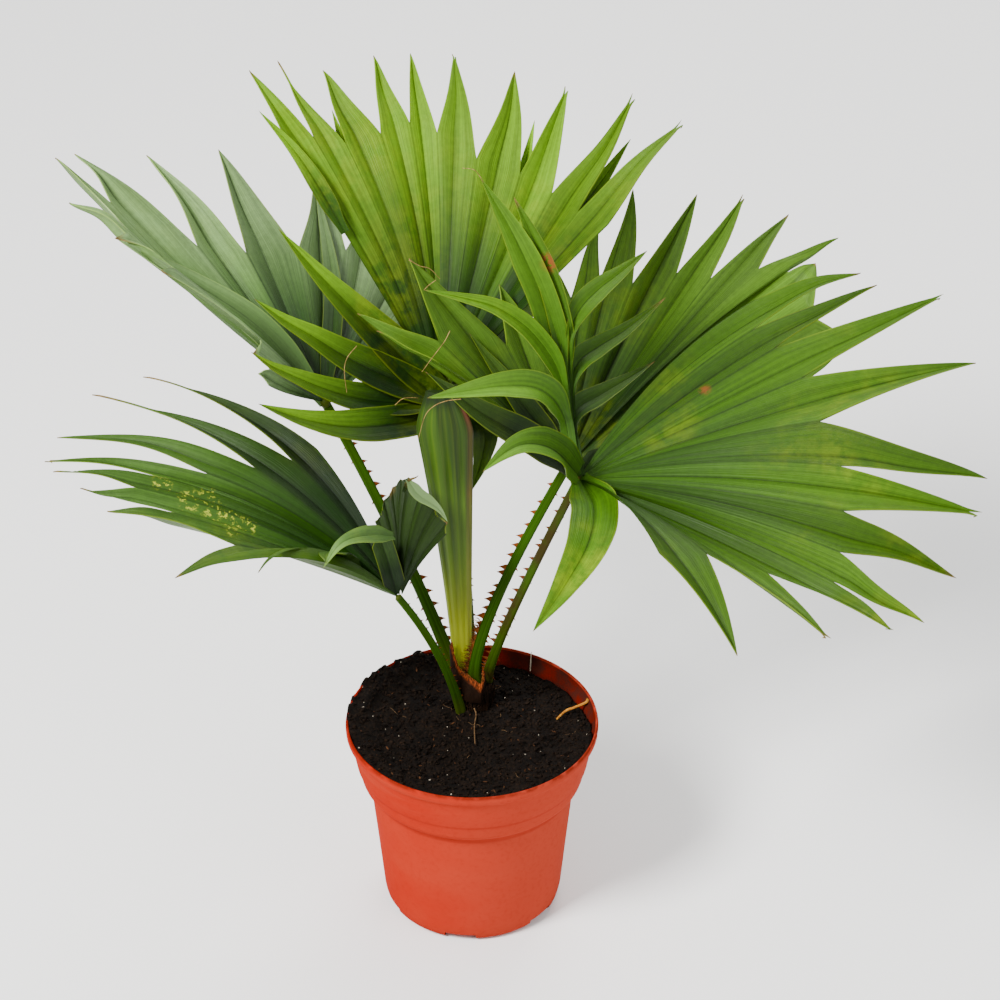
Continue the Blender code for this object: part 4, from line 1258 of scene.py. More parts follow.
def spear_material():
    """Folded young leaf: lighter ridges and painted shade in the grooves, darker stripes, a yellow foot and a brown
    margin on one side.
    """
    material, nodes, shader = new_material("spear_pleats")
    place = nodes.add("ShaderNodeTexCoord").outputs["Object"]
    groove = nodes.add("ShaderNodeAttribute", attribute_name="groove").outputs["Fac"]
    margin = nodes.add("ShaderNodeAttribute", attribute_name="margin").outputs["Fac"]
    along = nodes.add("ShaderNodeUVMap", uv_map="UVMap").outputs["UV"]
    lines = nodes.noise(nodes.stretch(along, (60.0, 1.2, 1.0)), 1.0, 2.0)
    broad = nodes.noise(nodes.stretch(along, (11.0, 1.6, 1.0)), 1.0, 2.0)
    split = nodes.add("ShaderNodeSeparateXYZ")
    nodes.link(along, split.inputs[0])
    foot = nodes.math("SUBTRACT", 1.0, nodes.ramp(split.outputs[1], 0.05, 0.50))
    height = nodes.ramp(split.outputs[1], 0.10, 0.90)
    light = nodes.mix(height, (0.110, 0.190, 0.010), (0.034, 0.082, 0.004))
    dark = nodes.mix(height, (0.050, 0.100, 0.005), (0.010, 0.024, 0.002))
    # Painted shade: the grooves between the folds take the darker green, over irregular darker stripes along the leaf.
    stripe = nodes.math("ADD", nodes.math("MULTIPLY", nodes.ramp(broad, 0.36, 0.62), 0.70),
                        nodes.math("MULTIPLY", nodes.ramp(groove, 0.20, 0.95), 0.35), clamp=True)
    base = nodes.mix(stripe, light, dark)
    base = nodes.mix(nodes.math("MULTIPLY", nodes.ramp(lines, 0.4, 0.7), 0.20), base, (0.110, 0.160, 0.008))
    base = nodes.mix(nodes.math("MULTIPLY", foot, 0.75), base, (0.340, 0.350, 0.010))
    patch = nodes.ramp(nodes.noise(place, 40.0, 3.0), 0.5, 0.7)
    tan = nodes.mix(nodes.ramp(split.outputs[1], 0.35, 0.80), (0.160, 0.160, 0.018), (0.050, 0.026, 0.006))
    base = nodes.mix(nodes.math("MULTIPLY", margin, nodes.math("ADD", 0.55, nodes.math("MULTIPLY", patch, 0.4))),
                     base, tan)
    red = nodes.math("MULTIPLY", margin, nodes.ramp(split.outputs[1], 0.84, 0.97))
    base = nodes.mix(red, base, (0.080, 0.016, 0.006))
    base = nodes.mix(nodes.ramp(split.outputs[1], 0.93, 0.98), base, (0.010, 0.022, 0.003))
    nodes.link(base, shader.inputs["Base Color"])
    nodes.link(nodes.math("ADD", 0.38, nodes.math("MULTIPLY", lines, 0.2)), shader.inputs["Roughness"])
    shader.inputs["Specular IOR Level"].default_value = LEAF_SPECULAR
    bump(nodes, shader, lines, 0.4, 0.0003)
    return material


SPEAR_FOLDS = 11
SPEAR_STEPS = 4
SPEAR_RINGS = 70


def build_spear():
    bm = bmesh.new()
    uv = bm.loops.layers.uv.new("UVMap")
    groove_layer, margin_layer = (bm.verts.layers.float.new(key) for key in ("groove", "margin"))
    sides = SPEAR_FOLDS * SPEAR_STEPS * 2
    rings = []
    for k in range(SPEAR_RINGS + 1):
        t = k / SPEAR_RINGS
        place = SPEAR_FOOT.lerp(SPEAR_TOP, t) + SPEAR_BOW * 4 * t * (1 - t)
        top = smooth_step((t - 0.86) / 0.18)
        wide = (0.0048 + 0.0117 * t**1.5) * (1 - 0.62 * top)
        deep = (0.0022 + 0.0012 * t) * (1 - 0.5 * top)
        ring = []
        for side in range(sides):
            angle = 2 * math.pi * side / sides
            saw = abs(((side / (SPEAR_STEPS * 2)) % 1.0) * 2 - 1)
            depth = 0.42 * min(1.0, t * 3) * saw
            offset = Vector((wide * math.cos(angle), deep * (1 - depth) * math.sin(angle), 0.0))
            vertex = bm.verts.new(place + offset)
            vertex[groove_layer] = saw
            vertex[margin_layer] = smooth_step((math.cos(angle) - 0.40 - 0.38 * t) / 0.15)
            ring.append(vertex)
        rings.append(ring)
    for k, (lower, upper) in enumerate(zip(rings, rings[1:])):
        for side in range(sides):
            after = (side + 1) % sides
            made = bm.faces.new((lower[side], lower[after], upper[after], upper[side]))
            for loop, (a, b) in zip(made.loops, ((side, k), (side + 1, k), (side + 1, k + 1), (side, k + 1))):
                loop[uv].uv = (a / sides, b / SPEAR_RINGS)
    for ring, share in ((rings[0], 0.0), (rings[-1], 1.0)):
        for loop in bm.faces.new(ring).loops:
            loop[uv].uv = (0.5, share)
    bmesh.ops.recalc_face_normals(bm, faces=bm.faces)
    obj = piece("spear_pleated", bm, (spear_material(),), ("spear_leaf",))
    shade_by_angle(obj, 40)
    return obj


def clasp_material():
    """The sheath round the spear's foot: dark and fibrous, orange-brown along its rim."""
    material, nodes, shader = new_material("clasp_fibre")
    place = nodes.add("ShaderNodeTexCoord").outputs["Object"]
    inside = nodes.add("ShaderNodeAttribute", attribute_name="inside").outputs["Fac"]
    strand = nodes.noise(nodes.stretch(place, (1800.0, 1800.0, 350.0)), 1.0, 3.0)
    ragged = nodes.math("ADD", inside, nodes.math("MULTIPLY", nodes.math("SUBTRACT", strand, 0.5), 0.0075))
    rim = nodes.mix(nodes.ramp(strand, 0.35, 0.65), (0.040, 0.010, 0.003), (0.270, 0.052, 0.010))
    dark = nodes.mix(strand, (0.003, 0.0015, 0.0008), (0.018, 0.007, 0.003))
    nodes.link(nodes.mix(nodes.ramp(ragged, 0.0012, 0.0032), rim, dark), shader.inputs["Base Color"])
    nodes.link(nodes.math("ADD", 0.6, nodes.math("MULTIPLY", strand, 0.3)), shader.inputs["Roughness"])
    shader.inputs["Specular IOR Level"].default_value = PEAT_SPECULAR
    bump(nodes, shader, strand, 0.5, 0.0004)
    return material


CROWN_SIDES = 90
CROWN_RINGS = 16
CROWN_STRANDS = 90
STALK_HAIRS = 170


def build_crown(fold):
    """Fibrous stem, the stalks' clasping feet round it and loose strands."""
    dice = random.Random(11)
    bm = bmesh.new()
    uv = bm.loops.layers.uv.new("UVMap")
    rings = []
    for k in range(CROWN_RINGS + 1):
        share = k / CROWN_RINGS
        swell = 0.92 + 0.06 * math.sin(math.pi * share) - 0.12 * share
        ring = []
        for side in range(CROWN_SIDES):
            angle = 2 * math.pi * side / CROWN_SIDES
            ridge = noise.noise(Vector((math.cos(angle) * 6, math.sin(angle) * 6, share * 1.5)))
            radius = CROWN_RADIUS * swell * (1 + 0.05 * math.cos(3 * angle + 1)) + 0.0010 * ridge
            height = SOIL_TOP - 0.001 + (CROWN_TOP - SOIL_TOP + 0.001) * share
            x = CROWN_CENTRE.x + radius * math.cos(angle)
            y = CROWN_CENTRE.y + radius * math.sin(angle)
            ring.append(bm.verts.new((x, y, height)))
        rings.append(ring)
    for lower, upper in zip(rings, rings[1:]):
        for side in range(CROWN_SIDES):
            after = (side + 1) % CROWN_SIDES
            bm.faces.new((lower[side], lower[after], upper[after], upper[side]))
    bm.faces.new(rings[0])
    bm.faces.new(rings[-1])
    for _ in range(CROWN_STRANDS):
        angle = dice.uniform(0, 2 * math.pi)
        start = dice.uniform(0.0, 0.005)
        height = dice.uniform(0.005, 0.011)
        strand = []
        for s in range(6):
            share = s / 5
            turn = angle + 0.25 * share * dice.uniform(-1, 1)
            radius = CROWN_RADIUS * (0.93 + 0.06 * math.sin(math.pi * share)) + 0.0004
            strand.append(Vector((
                CROWN_CENTRE.x + radius * math.cos(turn),
                CROWN_CENTRE.y + radius * math.sin(turn),
                SOIL_TOP + start + height * share,
            )))
        thin_strand(bm, uv, strand, 0.00035, 0.00012, 4)
    stalk = Stalk(FRONT_STALK, fold)
    for _ in range(STALK_HAIRS):
        t = dice.uniform(0.14, 0.45)
        along, across, through = stalk.axes(t)
        if across.x > 0:
            across = -across
        root = stalk.point(t) + across * (stalk.half_widths(t)[0] - 0.0003) + through * dice.uniform(-0.001, 0.001)
        tip = root + across * dice.uniform(0.0015, 0.0055) + along * dice.uniform(-0.0010, 0.0030)
        tip += through * dice.uniform(0.0002, 0.0030)
        middle = root.lerp(tip, 0.5) + along * dice.uniform(0.0, 0.0008)
        thin_strand(bm, uv, [root, middle, tip], 0.00022, 0.00008, 4, 1)
    for rim in (side[0] for side in SHEATH_SIDES):
        path = [Vector(p) for p in rim]
        for _ in range(12 * len(path)):
            root, along = smooth_path(path, dice.random())
            away = Vector((dice.uniform(-0.6, 0.6), dice.uniform(-1.0, -0.2), dice.uniform(-0.6, 1.0)))
            tip = root + away * dice.uniform(0.0006, 0.0016) + along.normalized() * dice.uniform(-0.0025, 0.0025)
            middle = root.lerp(tip, 0.5) + away * 0.0003
            thin_strand(bm, uv, [root, middle, tip], 0.00020, 0.00008, 4, 1)
    bmesh.ops.recalc_face_normals(bm, faces=bm.faces)
    # The crown's fibre is near black: partly its own dark brown, partly painted shade at the foot of the leaves.
    sheath = fibre_material("sheath_fibre_and_painted_shade", (0.004, 0.002, 0.0012), (0.022, 0.010, 0.0045))
    hairs = fibre_material("foot_hairs", (0.060, 0.018, 0.005), (0.230, 0.075, 0.016))
    obj = piece("crown_sheath", bm, (sheath, hairs), ("crown_base",))
    shade_by_angle(obj, 50)
    build_clasps()
    return obj


# The sheath round the spear's foot and the front stalk's: rim and lower edge of its two sides, which meet in a point
SHEATH_SIDES = (
    (
        ((-0.0104, 0.0206, 0.1464), (-0.0089, 0.0190, 0.1383), (-0.0063, 0.0178, 0.1314), (-0.0008, 0.0164, 0.1268),
         (0.0047, 0.0156, 0.1226)),
        ((-0.0114, 0.0212, 0.1440), (-0.0108, 0.0206, 0.1300), (-0.0090, 0.0192, 0.1180), (-0.0036, 0.0160, 0.1120),
         (0.0047, 0.0150, 0.1110)),
    ),
    (
        ((0.0056, 0.0168, 0.1318), (0.0056, 0.0163, 0.1268), (0.0047, 0.0156, 0.1226)),
        ((0.0064, 0.0176, 0.1300), (0.0066, 0.0170, 0.1210), (0.0047, 0.0150, 0.1110)),
    ),
)
SHEATH_ROWS = 36
SHEATH_COLUMNS = 6
RIM_GLOW = 0.0022


def build_clasps():
    """The fibrous sheath round the foot of the spear and the front stalk."""
    bm = bmesh.new()
    inside = bm.verts.layers.float.new("inside")
    for side in SHEATH_SIDES:
        rim, low = ([Vector(p) for p in path] for path in side)
        rows = []
        for k in range(SHEATH_ROWS + 1):
            start, end = (smooth_path(path, k / SHEATH_ROWS)[0] for path in (rim, low))
            row = []
            for c in range(SHEATH_COLUMNS + 1):
                share = c / SHEATH_COLUMNS
                ripple = 0.0008 * noise.noise(start.lerp(end, share) * 700)
                bulge = Vector((0.0, -0.0010 * math.sin(math.pi * share) - ripple, ripple * (1 - share)))
                made = bm.verts.new(start.lerp(end, share) + bulge)
                made[inside] = (end - start).length * share - RIM_GLOW * (k / SHEATH_ROWS) ** 3
                row.append(made)
            rows.append(row)
        for low_row, high_row in zip(rows, rows[1:]):
            for a, b, c, d in zip(low_row, low_row[1:], high_row, high_row[1:]):
                bm.faces.new((a, b, d, c))
    obj = piece("stalk_clasps", bm, (clasp_material(),))
    apply_modifier(obj, "SOLIDIFY", thickness=0.0008, offset=0.0)
    shade_by_angle(obj, 45)
    return obj


def heap_share(x, y):
    """How far the peat is heaped up towards the wall here: all round but at the back right."""
    angle = math.atan2(y, x)
    turn = abs((angle - math.radians(48) + math.pi) % (2 * math.pi) - math.pi)
    return smooth_step((turn - math.radians(25)) / math.radians(50))


def spill_share(x, y):
    """How far the peat spills over the rim here: at the back left."""
    return smooth_step(1.6 - abs(math.degrees(math.atan2(y, x)) % 360 - 146) / 34)


def peat_reach(x, y):
    """Radius of the peat's edge in this direction."""
    return 0.0603 + 0.0035 * heap_share(x, y) + 0.0018 * spill_share(x, y)


def peat_height(x, y, relief):
    place = Vector((x, y, 0.0))
    lumps = noise.fractal(place * 110, 0.55, 2.1, 5)
    swell = noise.noise(place * 30)
    edge = smooth_step((math.hypot(x, y) - 0.038) / 0.024)
    rough = 0.85 + 0.30 * noise.noise(place * 160 + Vector((5.0, 3.0, 0.0)))
    spill = PEAT_SPILL * spill_share(x, y) * smooth_step((math.hypot(x, y) - 0.052) / 0.008)
    heap = PEAT_HEAP * edge * heap_share(x, y) * rough
    level = SOIL_TOP + relief * (0.60 * lumps + 0.5 * swell) + heap
    return min(level, POT_HEIGHT - 0.0005) + spill * (1.0 + 0.9 * noise.noise(place * 260))


PEAT_SPILL = 0.0017
PEAT_HEAP = 0.0090
PEAT_RINGS = 84
PEAT_SIDES = 240
PEAT_PLUG = ((0.0608, 0.1005), (0.0562, 0.0805), (0.0522, 0.0762), (0.0508, 0.0712), (0.0442, 0.0100), (0.0420, 0.0062))


def build_peat(settings):
    """The peat's surface as a fine relief over a plain plug that fills the pot."""
    relief = settings.relief
    bm = bmesh.new()
    centre = bm.verts.new((0.0, 0.0, peat_height(0.0, 0.0, relief)))
    rings = []
    for k in range(1, PEAT_RINGS + 1):
        ring = []
        for side in range(PEAT_SIDES):
            angle = 2 * math.pi * side / PEAT_SIDES
            radius = peat_reach(math.cos(angle), math.sin(angle)) * k / PEAT_RINGS
            x, y = radius * math.cos(angle), radius * math.sin(angle)
            ring.append(bm.verts.new((x, y, peat_height(x, y, relief))))
        rings.append(ring)
    walls = [rings[-1]]
    for radius, height in PEAT_PLUG:
        wall = []
        for side in range(PEAT_SIDES):
            angle = 2 * math.pi * side / PEAT_SIDES
            wall.append(bm.verts.new((radius * math.cos(angle), radius * math.sin(angle), height)))
        walls.append(wall)
    for side in range(PEAT_SIDES):
        after = (side + 1) % PEAT_SIDES
        bm.faces.new((centre, rings[0][side], rings[0][after]))
    for inner, outer in zip(rings + walls[1:], rings[1:] + walls[1:] + [None]):
        if outer is None or inner is outer:
            continue
        for side in range(PEAT_SIDES):
            after = (side + 1) % PEAT_SIDES
            bm.faces.new((inner[side], outer[side], outer[after], inner[after]))
    bm.faces.new(list(reversed(walls[-1])))
    peat = peat_material("peat_dark", (0.0016, 0.0009, 0.0006), (0.010, 0.0055, 0.0030))
    obj = piece("peat_surface", bm, (peat,), ("soil",))
    select_only(obj)
    bpy.ops.object.shade_smooth()
    return obj


def add_crumb(bm, place, size, squash, dice, material_index):
    made = bmesh.ops.create_icosphere(bm, subdivisions=1, radius=size)
    verts = made["verts"]
    turn = Matrix.Rotation(dice.uniform(0, 6.28), 3, Vector((dice.uniform(-1, 1), dice.uniform(-1, 1), 1.0)).normalized())
    length = dice.uniform(1.8, 3.4) if material_index == 1 else dice.uniform(0.6, 1.5)
    stretch = Vector((length, dice.uniform(0.5, 1.2), squash))
    for vertex in verts:
        vertex.co = Vector(c * s for c, s in zip(vertex.co, stretch)) * dice.uniform(0.75, 1.2)
        vertex.co = turn @ vertex.co + place
    for face in {f for v in verts for f in v.link_faces}:
        face.material_index = material_index


def build_crumbs(settings):
    """Loose crumbs of peat, bark and perlite lying on the surface."""
    dice = random.Random(21)
    bm = bmesh.new()
    for k in range(settings.crumbs):
        angle = dice.uniform(0, 2 * math.pi)
        radius = (peat_reach(math.cos(angle), math.sin(angle)) - 0.0008) * math.sqrt(dice.random())
        x, y = radius * math.cos(angle), radius * math.sin(angle)
        kind = 0 if k % 16 else dice.choice((1, 1, 1, 2))
        size = dice.choice((0.0005, 0.0007, 0.0009, 0.0014)) if kind == 0 else dice.uniform(0.0003, 0.0006)
        place = Vector((x, y, peat_height(x, y, settings.relief) + size * 0.25))
        add_crumb(bm, place, size, dice.uniform(0.35, 0.8), dice, kind)
    materials = (
        peat_material("peat_crumb", (0.0022, 0.0012, 0.0008), (0.016, 0.0085, 0.0045)),
        fibre_material("bark_bit", (0.016, 0.006, 0.0025), (0.075, 0.030, 0.011)),
        peat_material("perlite", (0.26, 0.22, 0.17), (0.46, 0.41, 0.33)),
    )
    return piece("peat_crumbs", bm, materials)


# Roots that lie open, as (places, radius at the start, radius at the end, 0 yellow or 1 brown)
ROOTS = (
    (((0.0442, 0.0091, 0.1050), (0.0486, 0.0145, 0.1058), (0.0540, 0.0175, 0.1064), (0.0594, 0.0192, 0.1080),
      (0.0608, 0.0198, 0.1100)), 0.0005, 0.0009, 0),
    (((0.0540, 0.0175, 0.1062), (0.0505, 0.0170, 0.1058), (0.0478, 0.0160, 0.1046)), 0.0004, 0.0002, 0),
    (((0.0010, 0.0150, 0.1075), (0.0020, 0.0120, 0.1058), (0.0012, 0.0027, 0.1050), (0.0016, -0.0116, 0.1046)),
     0.0004, 0.0003, 1),
    (((0.0312, 0.0568, 0.1132), (0.0310, 0.0556, 0.1100), (0.0308, 0.0545, 0.1066), (0.0307, 0.0535, 0.1030)),
     0.00025, 0.00035, 2),
)

def build_rootlets(settings):
    """The root that runs to the wall, and fine threads on the peat."""
    dice = random.Random(31)
    bm = bmesh.new()
    uv = bm.loops.layers.uv.new("UVMap")

    def lay(start, end, radius, wobble, index, count=14):
        strand = []
        for s in range(count):
            t = s / (count - 1)
            x = start[0] + (end[0] - start[0]) * t + wobble * math.sin(7 * t) * (1 - t)
            y = start[1] + (end[1] - start[1]) * t + wobble * math.cos(5 * t) * t
            strand.append(Vector((x, y, peat_height(x, y, settings.relief) + radius * 0.9)))
        thin_strand(bm, uv, strand, radius, radius * 0.6, 7, index)

    for strand, start_radius, end_radius, index in ROOTS:
        points = [Vector(p) for p in strand]
        thin_strand(bm, uv, [smooth_path(points, k / 24)[0] for k in range(25)], start_radius, end_radius, 7, index)
    for _ in range(12):
        radius = 0.050 * math.sqrt(dice.random())
        angle = dice.uniform(0, 6.28)
        x, y = radius * math.cos(angle), radius * math.sin(angle)
        turn = dice.uniform(0, 6.28)
        length = dice.uniform(0.004, 0.010)
        lay((x, y), (x + length * math.cos(turn), y + length * math.sin(turn)), 0.00016, 0.0008, 1, 9)
    materials = (
        fibre_material("root_yellow", (0.300, 0.100, 0.010), (0.480, 0.210, 0.030)),
        fibre_material("root_brown", (0.050, 0.026, 0.012), (0.130, 0.075, 0.034)),
        fibre_material("root_pale", (0.50, 0.40, 0.28), (0.70, 0.60, 0.46)),
    )
    return piece("rootlets", bm, materials)


def extrude_ring(radius, height, state):
    """Raises the selected ring to the next radius and height."""
    old_radius, old_height = state
    bpy.ops.mesh.extrude_region_move(TRANSFORM_OT_translate={"value": (0.0, 0.0, height - old_height)})
    share = radius / old_radius
    bpy.ops.transform.resize(value=(share, share, 1.0), center_override=(0.0, 0.0, height))
    return radius, height


POT_PROFILE = (
    (0.0440, 0.0006), (0.0456, 0.0022), (0.0464, 0.0050), (0.0470, 0.0080), (0.0500, 0.0400), (0.0531, 0.0715),
    (0.0533, 0.0732), (0.0536, 0.0744), (0.0541, 0.0754), (0.0548, 0.0763), (0.0556, 0.0771), (0.0564, 0.0779),
    (0.0572, 0.0788), (0.0578, 0.0798), (0.0582, 0.0810), (0.0592, 0.0855),
    (0.05955, 0.0868), (0.0599, 0.0876), (0.0604, 0.0888), (0.0622, 0.0985), (0.0633, 0.1048), (0.0638, 0.1060),
    (0.0649, 0.1066), (0.0655, 0.1074), (0.0657, 0.1100), (0.0655, 0.1113), (0.0650, 0.1119), (0.0644, 0.1118),
    (0.0641, 0.1108), (0.0638, 0.1070), (0.0622, 0.1050), (0.0612, 0.1000), (0.0572, 0.0800), (0.0560, 0.0786),
    (0.0530, 0.0765), (0.0516, 0.0715), (0.0457, 0.0085), (0.0430, 0.0055),
)
POT_SIDES = 144
NOTCHES = 6
NOTCH_WIDTH = 0.0165
NOTCH_HEIGHT = 0.0045
NOTCH_CIRCLE = 0.0460
FIRST_NOTCH = -98.0
DRAIN_RADIUS = 0.0035
DRAIN_CIRCLE = 0.027


def cut(obj, cutter):
    """Cuts a solid out of an object and removes the cutter."""
    apply_modifier(obj, "BOOLEAN", operation="DIFFERENCE", solver="EXACT", object=cutter)
    bpy.data.objects.remove(cutter)


def notch_and_drill(obj):
    """Cuts the notches round the pot's foot and the drain holes between them."""
    for k in range(NOTCHES):
        angle = math.radians(FIRST_NOTCH) + 2 * math.pi * k / NOTCHES
        place = Vector((math.cos(angle), math.sin(angle), 0.0)) * NOTCH_CIRCLE
        bpy.ops.mesh.primitive_cube_add(size=1.0, location=place, rotation=(0.0, 0.0, angle))
        cutter = bpy.context.active_object
        cutter.scale = (0.020, NOTCH_WIDTH, NOTCH_HEIGHT * 2)
        bpy.ops.object.transform_apply(location=False, rotation=False, scale=True)
        cut(obj, cutter)
        angle += math.pi / NOTCHES
        place = Vector((math.cos(angle), math.sin(angle), 0.0)) * DRAIN_CIRCLE
        bpy.ops.mesh.primitive_cylinder_add(vertices=32, radius=DRAIN_RADIUS, depth=0.02, location=place)
        cut(obj, bpy.context.active_object)


def build_pot(settings):
    """The moulded pot, drawn up from its profile, with foot notches and drain holes as in the frame."""
    for other in bpy.context.selected_objects:
        other.select_set(False)
    radius, height = 0.0420, 0.0
    bpy.ops.mesh.primitive_circle_add(vertices=POT_SIDES, radius=radius, fill_type="NGON", location=(0.0, 0.0, height))
    obj = bpy.context.active_object
    bpy.ops.object.mode_set(mode="EDIT")
    bpy.ops.mesh.select_all(action="SELECT")
    state = (radius, height)
    for place in POT_PROFILE:
        state = extrude_ring(*place, state)
    bpy.ops.object.mode_set(mode="OBJECT")
    obj.name = "moulded_pot"
    bm = bmesh.new()
    bm.from_mesh(obj.data)
    bmesh.ops.recalc_face_normals(bm, faces=bm.faces)
    bm.to_mesh(obj.data)
    bm.free()
    notch_and_drill(obj)
    obj.data.materials.clear()
    obj.data.materials.append(plastic_material(settings))
    obj.data.materials.append(inner_plastic_material(settings))
    for face in obj.data.polygons:
        centre, normal = face.center, face.normal
        flat = math.hypot(centre.x, centre.y)
        inward = normal.x * centre.x + normal.y * centre.y < -1e-6
        inner = (inward and centre.z < 0.1105) or (flat < 0.043 and centre.z > 0.0025)
        face.material_index = 1 if inner else 0
    shade_by_angle(obj, 40)
    hand_over(obj, ("pot",))
    return obj


THREADS = (
    ((-0.0098, 0.0150, 0.3381), (-0.0127, 0.0150, 0.3318), (-0.0187, 0.0160, 0.3221), (-0.0238, 0.0180, 0.3128)),
    ((-0.0560, 0.0300, 0.3205), (-0.0608, 0.0270, 0.3153), (-0.0622, 0.0240, 0.3093), (-0.0611, 0.0200, 0.2997)),
    ((-0.0046, 0.0100, 0.3021), (-0.0120, 0.0120, 0.2997), (-0.0179, 0.0120, 0.2968), (-0.0224, 0.0120, 0.2910),
     (-0.0259, 0.0120, 0.2777)),
    ((-0.0374, 0.0200, 0.2923), (-0.0339, 0.0200, 0.2958), (-0.0300, 0.0220, 0.2954), (-0.0261, 0.0240, 0.2939)),
    ((-0.0215, -0.0114, 0.3767), (-0.0191, -0.0110, 0.3792), (-0.0157, -0.0105, 0.3817)),
    ((-0.0301, 0.0480, 0.3588), (-0.0248, 0.0475, 0.3557), (-0.0198, 0.0470, 0.3543), (-0.0150, 0.0460, 0.3492)),
    ((0.0054, 0.0400, 0.4088), (0.0021, 0.0400, 0.4132), (-0.0037, 0.0400, 0.4143)),
)

def build_threads():
    """Loose dry fibres about the middle leaf's hub."""
    bm = bmesh.new()
    uv = bm.loops.layers.uv.new("UVMap")
    for thread in THREADS:
        points = [Vector(p) for p in thread]
        strand = [smooth_path(points, k / 20)[0] for k in range(21)]
        thin_strand(bm, uv, strand, 0.00022, 0.00014, 5)
    straw = fibre_material("dry_thread", (0.120, 0.070, 0.020), (0.300, 0.200, 0.070))
    return piece("dry_threads", bm, (straw,))


def build_stage(settings):
    bpy.ops.mesh.primitive_plane_add(size=8.0, location=(0.0, 0.0, 0.0))
    floor = bpy.context.active_object
    floor.name = "floor"
    material, nodes, shader = new_material("pale_floor")
    place = nodes.add("ShaderNodeTexCoord").outputs["Object"]
    colour = tuple(settings.floor_colour)
    soft = nodes.noise(place, 3.0, 2.0)
    nodes.link(nodes.mix(soft, colour, tuple(c * 0.985 for c in colour)), shader.inputs["Base Color"])
    shader.inputs["Roughness"].default_value = 0.9
    floor.data.materials.append(material)
    lights = (
        ("key_light", (-1.1, -0.95, 1.75), 0.6, settings.key_power, (1.0, 0.985, 0.96)),
        ("fill_light", (1.4, -1.0, 1.3), 1.6, settings.key_power * 0.18, (0.97, 0.985, 1.0)),
        ("back_light", (0.5, 1.5, 1.8), 1.2, settings.key_power * 0.35, (1.0, 1.0, 0.97)),
    )
    aim = Vector((0.0, 0.0, 0.2))
    for name, place, size, power, colour in lights:
        data = bpy.data.lights.new(name, "AREA")
        data.size, data.energy, data.color = size, power, colour
        light = bpy.data.objects.new(name, data)
        light.location = place
        light.rotation_euler = (aim - Vector(place)).to_track_quat("-Z", "Y").to_euler()
        bpy.context.scene.collection.objects.link(light)
    world = bpy.data.worlds.new("soft_room")
    world.use_nodes = True
    background = world.node_tree.nodes["Background"]
    background.inputs["Color"].default_value = (1.0, 1.0, 1.0, 1.0)
    background.inputs["Strength"].default_value = 0.62
    bpy.context.scene.world = world
    data = bpy.data.cameras.new("camera")
    data.lens = CAMERA_LENS
    data.sensor_width = 36.0
    camera = bpy.data.objects.new("camera", data)
    camera.location = CAMERA_PLACE
    camera.rotation_euler = (math.radians(90 - CAMERA_PITCH), 0.0, 0.0)
    bpy.context.scene.collection.objects.link(camera)
    bpy.context.scene.camera = camera


# Operators and panel


class PALM_OT_leaves(bpy.types.Operator):
    """Build the pleated leaf blades and lobes"""

    bl_idname = "palm.leaves"
    bl_label = "Leaves"

    def execute(self, context):
        for name in LEAF_FINISH:
            build_leaf(name, context.scene.palm_leaf)
        return {"FINISHED"}


class PALM_OT_stalks(bpy.types.Operator):
    """Build the spiny leaf stalks"""

    bl_idname = "palm.stalks"
    bl_label = "Stalks"

    def execute(self, context):
        for name in STALKS:
            build_stalk(name, context.scene.palm_stalk, context.scene.palm_leaf.fold)
        return {"FINISHED"}


class PALM_OT_spear(bpy.types.Operator):
    """Build the folded young leaf"""

    bl_idname = "palm.spear"
    bl_label = "Spear leaf"

    def execute(self, context):
        build_spear()
        build_threads()
        return {"FINISHED"}


class PALM_OT_crown(bpy.types.Operator):
    """Build the fibrous crown at the foot of the stalks"""

    bl_idname = "palm.crown"
    bl_label = "Crown"

    def execute(self, context):
        build_crown(context.scene.palm_leaf.fold)
        return {"FINISHED"}


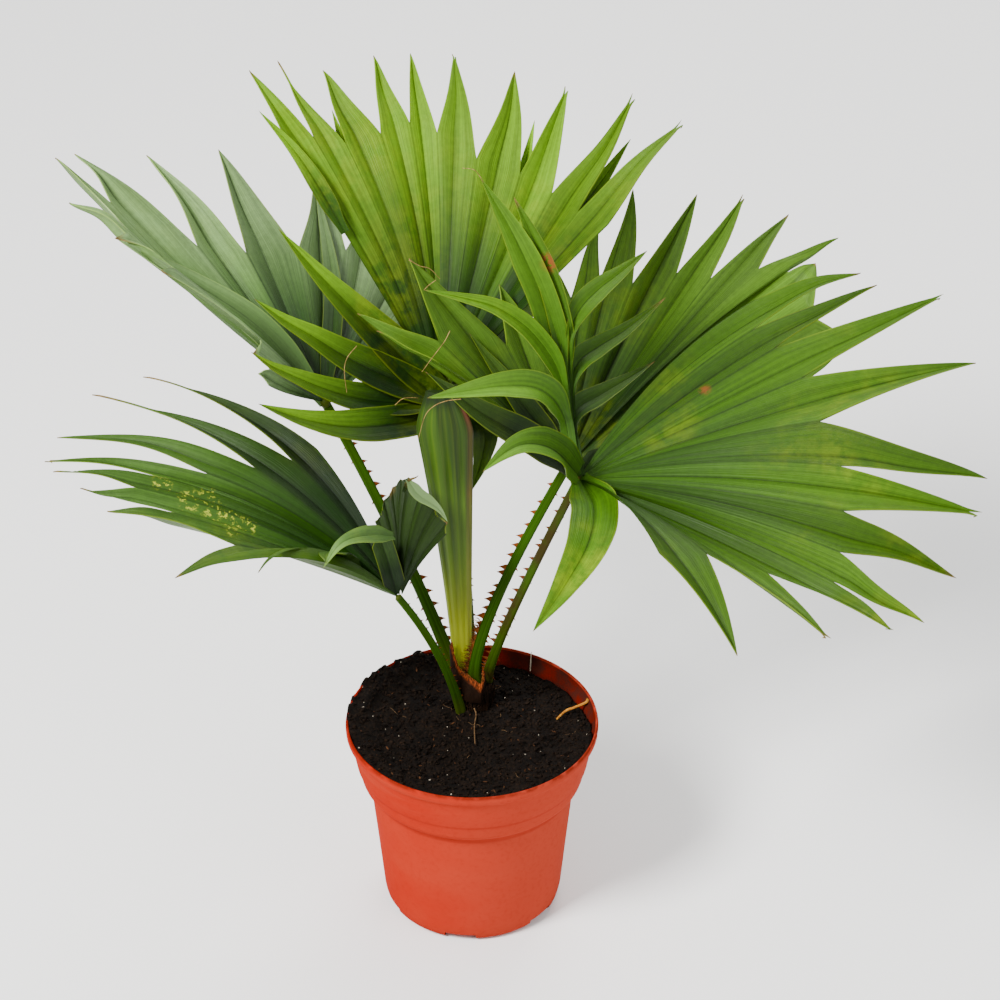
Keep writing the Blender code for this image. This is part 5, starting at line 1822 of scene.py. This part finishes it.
class PALM_OT_peat(bpy.types.Operator):
    """Build the peat, its crumbs and its rootlets"""

    bl_idname = "palm.peat"
    bl_label = "Peat"

    def execute(self, context):
        build_peat(context.scene.palm_soil)
        build_crumbs(context.scene.palm_soil)
        build_rootlets(context.scene.palm_soil)
        return {"FINISHED"}


class PALM_OT_pot(bpy.types.Operator):
    """Build the moulded pot"""

    bl_idname = "palm.pot"
    bl_label = "Pot"

    def execute(self, context):
        build_pot(context.scene.palm_pot)
        return {"FINISHED"}


class PALM_OT_stage(bpy.types.Operator):
    """Build the floor, the lights and the camera"""

    bl_idname = "palm.stage"
    bl_label = "Stage"

    def execute(self, context):
        build_stage(context.scene.palm_stage)
        return {"FINISHED"}


OPERATORS = (PALM_OT_stage, PALM_OT_pot, PALM_OT_peat, PALM_OT_crown, PALM_OT_stalks, PALM_OT_spear, PALM_OT_leaves)


class PALM_PT_panel(bpy.types.Panel):
    bl_label = "Potted palm"
    bl_idname = "PALM_PT_panel"
    bl_space_type = "VIEW_3D"
    bl_region_type = "UI"
    bl_category = "Palm"

    def draw(self, context):
        for operator in OPERATORS:
            self.layout.operator(operator.bl_idname)
        for group in SETTINGS:
            settings = getattr(context.scene, group)
            for name in settings.__annotations__:
                self.layout.prop(settings, name)


SETTINGS = {
    "palm_leaf": PalmLeafSettings,
    "palm_stalk": PalmStalkSettings,
    "palm_pot": PalmPotSettings,
    "palm_soil": PalmSoilSettings,
    "palm_stage": PalmStageSettings,
}


def register():
    for cls in (*SETTINGS.values(), *OPERATORS, PALM_PT_panel):
        bpy.utils.register_class(cls)
    for name, cls in SETTINGS.items():
        setattr(bpy.types.Scene, name, bpy.props.PointerProperty(type=cls))


def unregister():
    for name in SETTINGS:
        delattr(bpy.types.Scene, name)
    for cls in reversed((*SETTINGS.values(), *OPERATORS, PALM_PT_panel)):
        bpy.utils.unregister_class(cls)


def main():
    register()
    bpy.ops.palm.stage()
    bpy.ops.palm.pot()
    bpy.ops.palm.peat()
    bpy.ops.palm.crown()
    bpy.ops.palm.stalks()
    bpy.ops.palm.spear()
    bpy.ops.palm.leaves()


if __name__ == "__main__":
    main()
